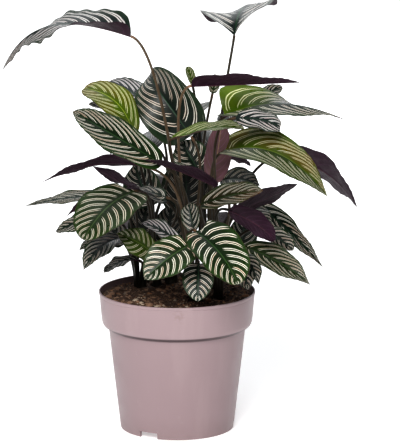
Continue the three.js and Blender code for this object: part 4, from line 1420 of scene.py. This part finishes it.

# %% [markdown]
# ## The pot's plastic
#
# The plastic is a soft taupe, a little mottled, with faint upright streaks from the mould and
# some dust. Shade is painted in: a dark line in the crease under the collar, which is the lip's
# painted shadow, and a darker wall below the collar. The collar has one soft darker patch, and the
# wall turns patchily darker towards the foot. The relief is tiny: fine grain, upright scratches,
# and a slow unevenness that bends the highlights.

# %% Pot finish
DARK_PATCH_PLACE = (0.003, -0.094, 0.159)
TAUPE = SimpleNamespace(
    plain=(rgb(154, 135, 138), rgb(163, 143, 146)), streak=rgb(176, 157, 158), dust=rgb(178, 162, 161),
    dark_patch=rgb(130, 110, 103), painted_shade_lower_wall=rgb(128, 109, 113), painted_shadow_under_lip=rgb(58, 47, 50),
    foot=rgb(111, 94, 85))


def pot_finish():
    """Moulded plastic: faint streaks, dust, a darker patch on the collar, painted shade below the collar
    with a painted shadow line under its lip, and patchy darkening at the foot.
    """
    finish = Finish("pot_plastic_fine")
    colour = finish.mix(finish.noise(9, 4), *TAUPE.plain)
    streak = finish.noise(40, 4, place=finish.stretched((1, 1, 0.12)))
    colour = finish.mix(finish.step(streak, 0.52, 0.72, 0.0, 0.25), colour, TAUPE.streak)
    dust = finish.step(finish.noise(160, 6), 0.62, 0.78, 0.0, 0.18)
    colour = finish.mix(dust, colour, TAUPE.dust)
    # A soft darker patch on the collar, broken up by noise.
    values = {0: finish.place, 1: DARK_PATCH_PLACE}
    away = finish.node("ShaderNodeVectorMath", values, operation="DISTANCE").outputs["Value"]
    patchy = finish.step(finish.noise(220, 4), 0.4, 0.65)
    dark_patch = finish.math("MULTIPLY", finish.step(away, 0.002, 0.012, 0.35, 0.0), patchy)
    colour = finish.mix(dark_patch, colour, TAUPE.dark_patch)
    height = finish.node("ShaderNodeSeparateXYZ", {0: finish.place}).outputs[2]
    lip = LIP_LOW * MM
    # Painted shade: the wall below the collar is darker, as in the collar's shade.
    colour = finish.mix(finish.step(height, lip - 0.002, lip + 0.001, 0.2, 0.0), colour, TAUPE.painted_shade_lower_wall)
    # Painted shadow: a dark line in the crease just under the lip, the lip's shadow.
    crease = finish.math("ABSOLUTE", finish.math("SUBTRACT", height, lip - 0.0015))
    colour = finish.mix(finish.step(crease, 0.0012, 0.0035, 0.85, 0.0), colour, TAUPE.painted_shadow_under_lip)
    # Patchily darker towards the foot.
    low = finish.math("MULTIPLY", finish.step(height, 0.0, 0.03, 0.22, 0.0), finish.noise(70, 4))
    colour = finish.mix(low, colour, TAUPE.foot)
    rough = finish.step(finish.noise(30, 4), 0.35, 0.7, 0.36, 0.48)
    scratch = finish.noise(900, 2, place=finish.stretched((1, 1, 0.03)))
    grain = finish.math("ADD", finish.noise(1400, 2), finish.math("MULTIPLY", scratch, 0.4))
    normal = finish.bump(grain, 0.00005)
    normal = finish.bump(finish.noise(14, 2), 0.0006, below=normal)
    return finish.done(finish.surface(colour, rough, normal, **{"Specular IOR Level": 0.3}))


POT_FINISH = pot_finish()
print("pot finish:", len(POT_FINISH.node_tree.nodes), "nodes")

# %% [markdown]
# ## Notches and drain holes
#
# Water leaves through six holes in the raised floor and then through three notches in the foot
# ring. They are cut last, because a turned form can't have them.

# %% The pot, cut to shape
NOTCH = SimpleNamespace(wide=24, deep=12, high=7.5, count=3, first=-30)
DRAIN = SimpleNamespace(radius=6, ring=38, count=6)


def box_cutter(name, wide, deep, high, centre, turn):
    """An upright box through the foot ring, turned about the pot's axis."""
    x, y, z = wide / 2, deep / 2, high / 2
    corners = [(a * x, centre + b * y, c * z) for a in (-1, 1) for b in (-1, 1) for c in (-1, 1)]
    s, c = math.sin(math.radians(turn)), math.cos(math.radians(turn))
    points = [(c * px - s * py, s * px + c * py, pz) for px, py, pz in corners]
    faces = [(0, 1, 3, 2), (4, 6, 7, 5), (0, 4, 5, 1), (2, 3, 7, 6), (0, 2, 6, 4), (1, 5, 7, 3)]
    return mesh_piece(name, points, faces, [], smooth=False)


pot = mesh_piece("pot_body", points, faces, [POT_FINISH])
cutters = []
for i in range(NOTCH.count):
    turn = NOTCH.first + 360 / NOTCH.count * i
    cutters.append(box_cutter(f"notch_{i}", NOTCH.wide, NOTCH.deep, 2 * NOTCH.high, 2 - FOOT_RADIUS, turn))
for i in range(DRAIN.count):
    turn = math.tau * i / DRAIN.count
    centre = (DRAIN.ring * math.cos(turn), DRAIN.ring * math.sin(turn))
    cutters.append(rod(f"drain_{i}", DRAIN.radius, FLOOR_HEIGHT - 3, FLOOR_HEIGHT + 5, centre))
cut(pot, cutters)
pot.data.set_sharp_from_angle(angle=math.radians(40))
pieces.append((pot, "pot", "pot_plastic"))
print("pot:", len(pot.data.polygons), "faces")

# %% [markdown]
# ## Into the frame
#
# Last, every piece is tied to the one body, and the solid it stands for is hidden. The boxes of
# the solids and of the finished plant are gathered side by side. The fine plant may not be larger
# than the solids.

# %% Ties and sizes
for piece, node, slot in pieces:
    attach(piece, "root")
    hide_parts(node)

bpy.context.view_layer.update()
sizes = {"cad": [list(corner) for corner in cad_box], "visual": [list(corner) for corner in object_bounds()]}
print("faces in all:", sum(len(piece.data.polygons) for piece, _, _ in pieces))
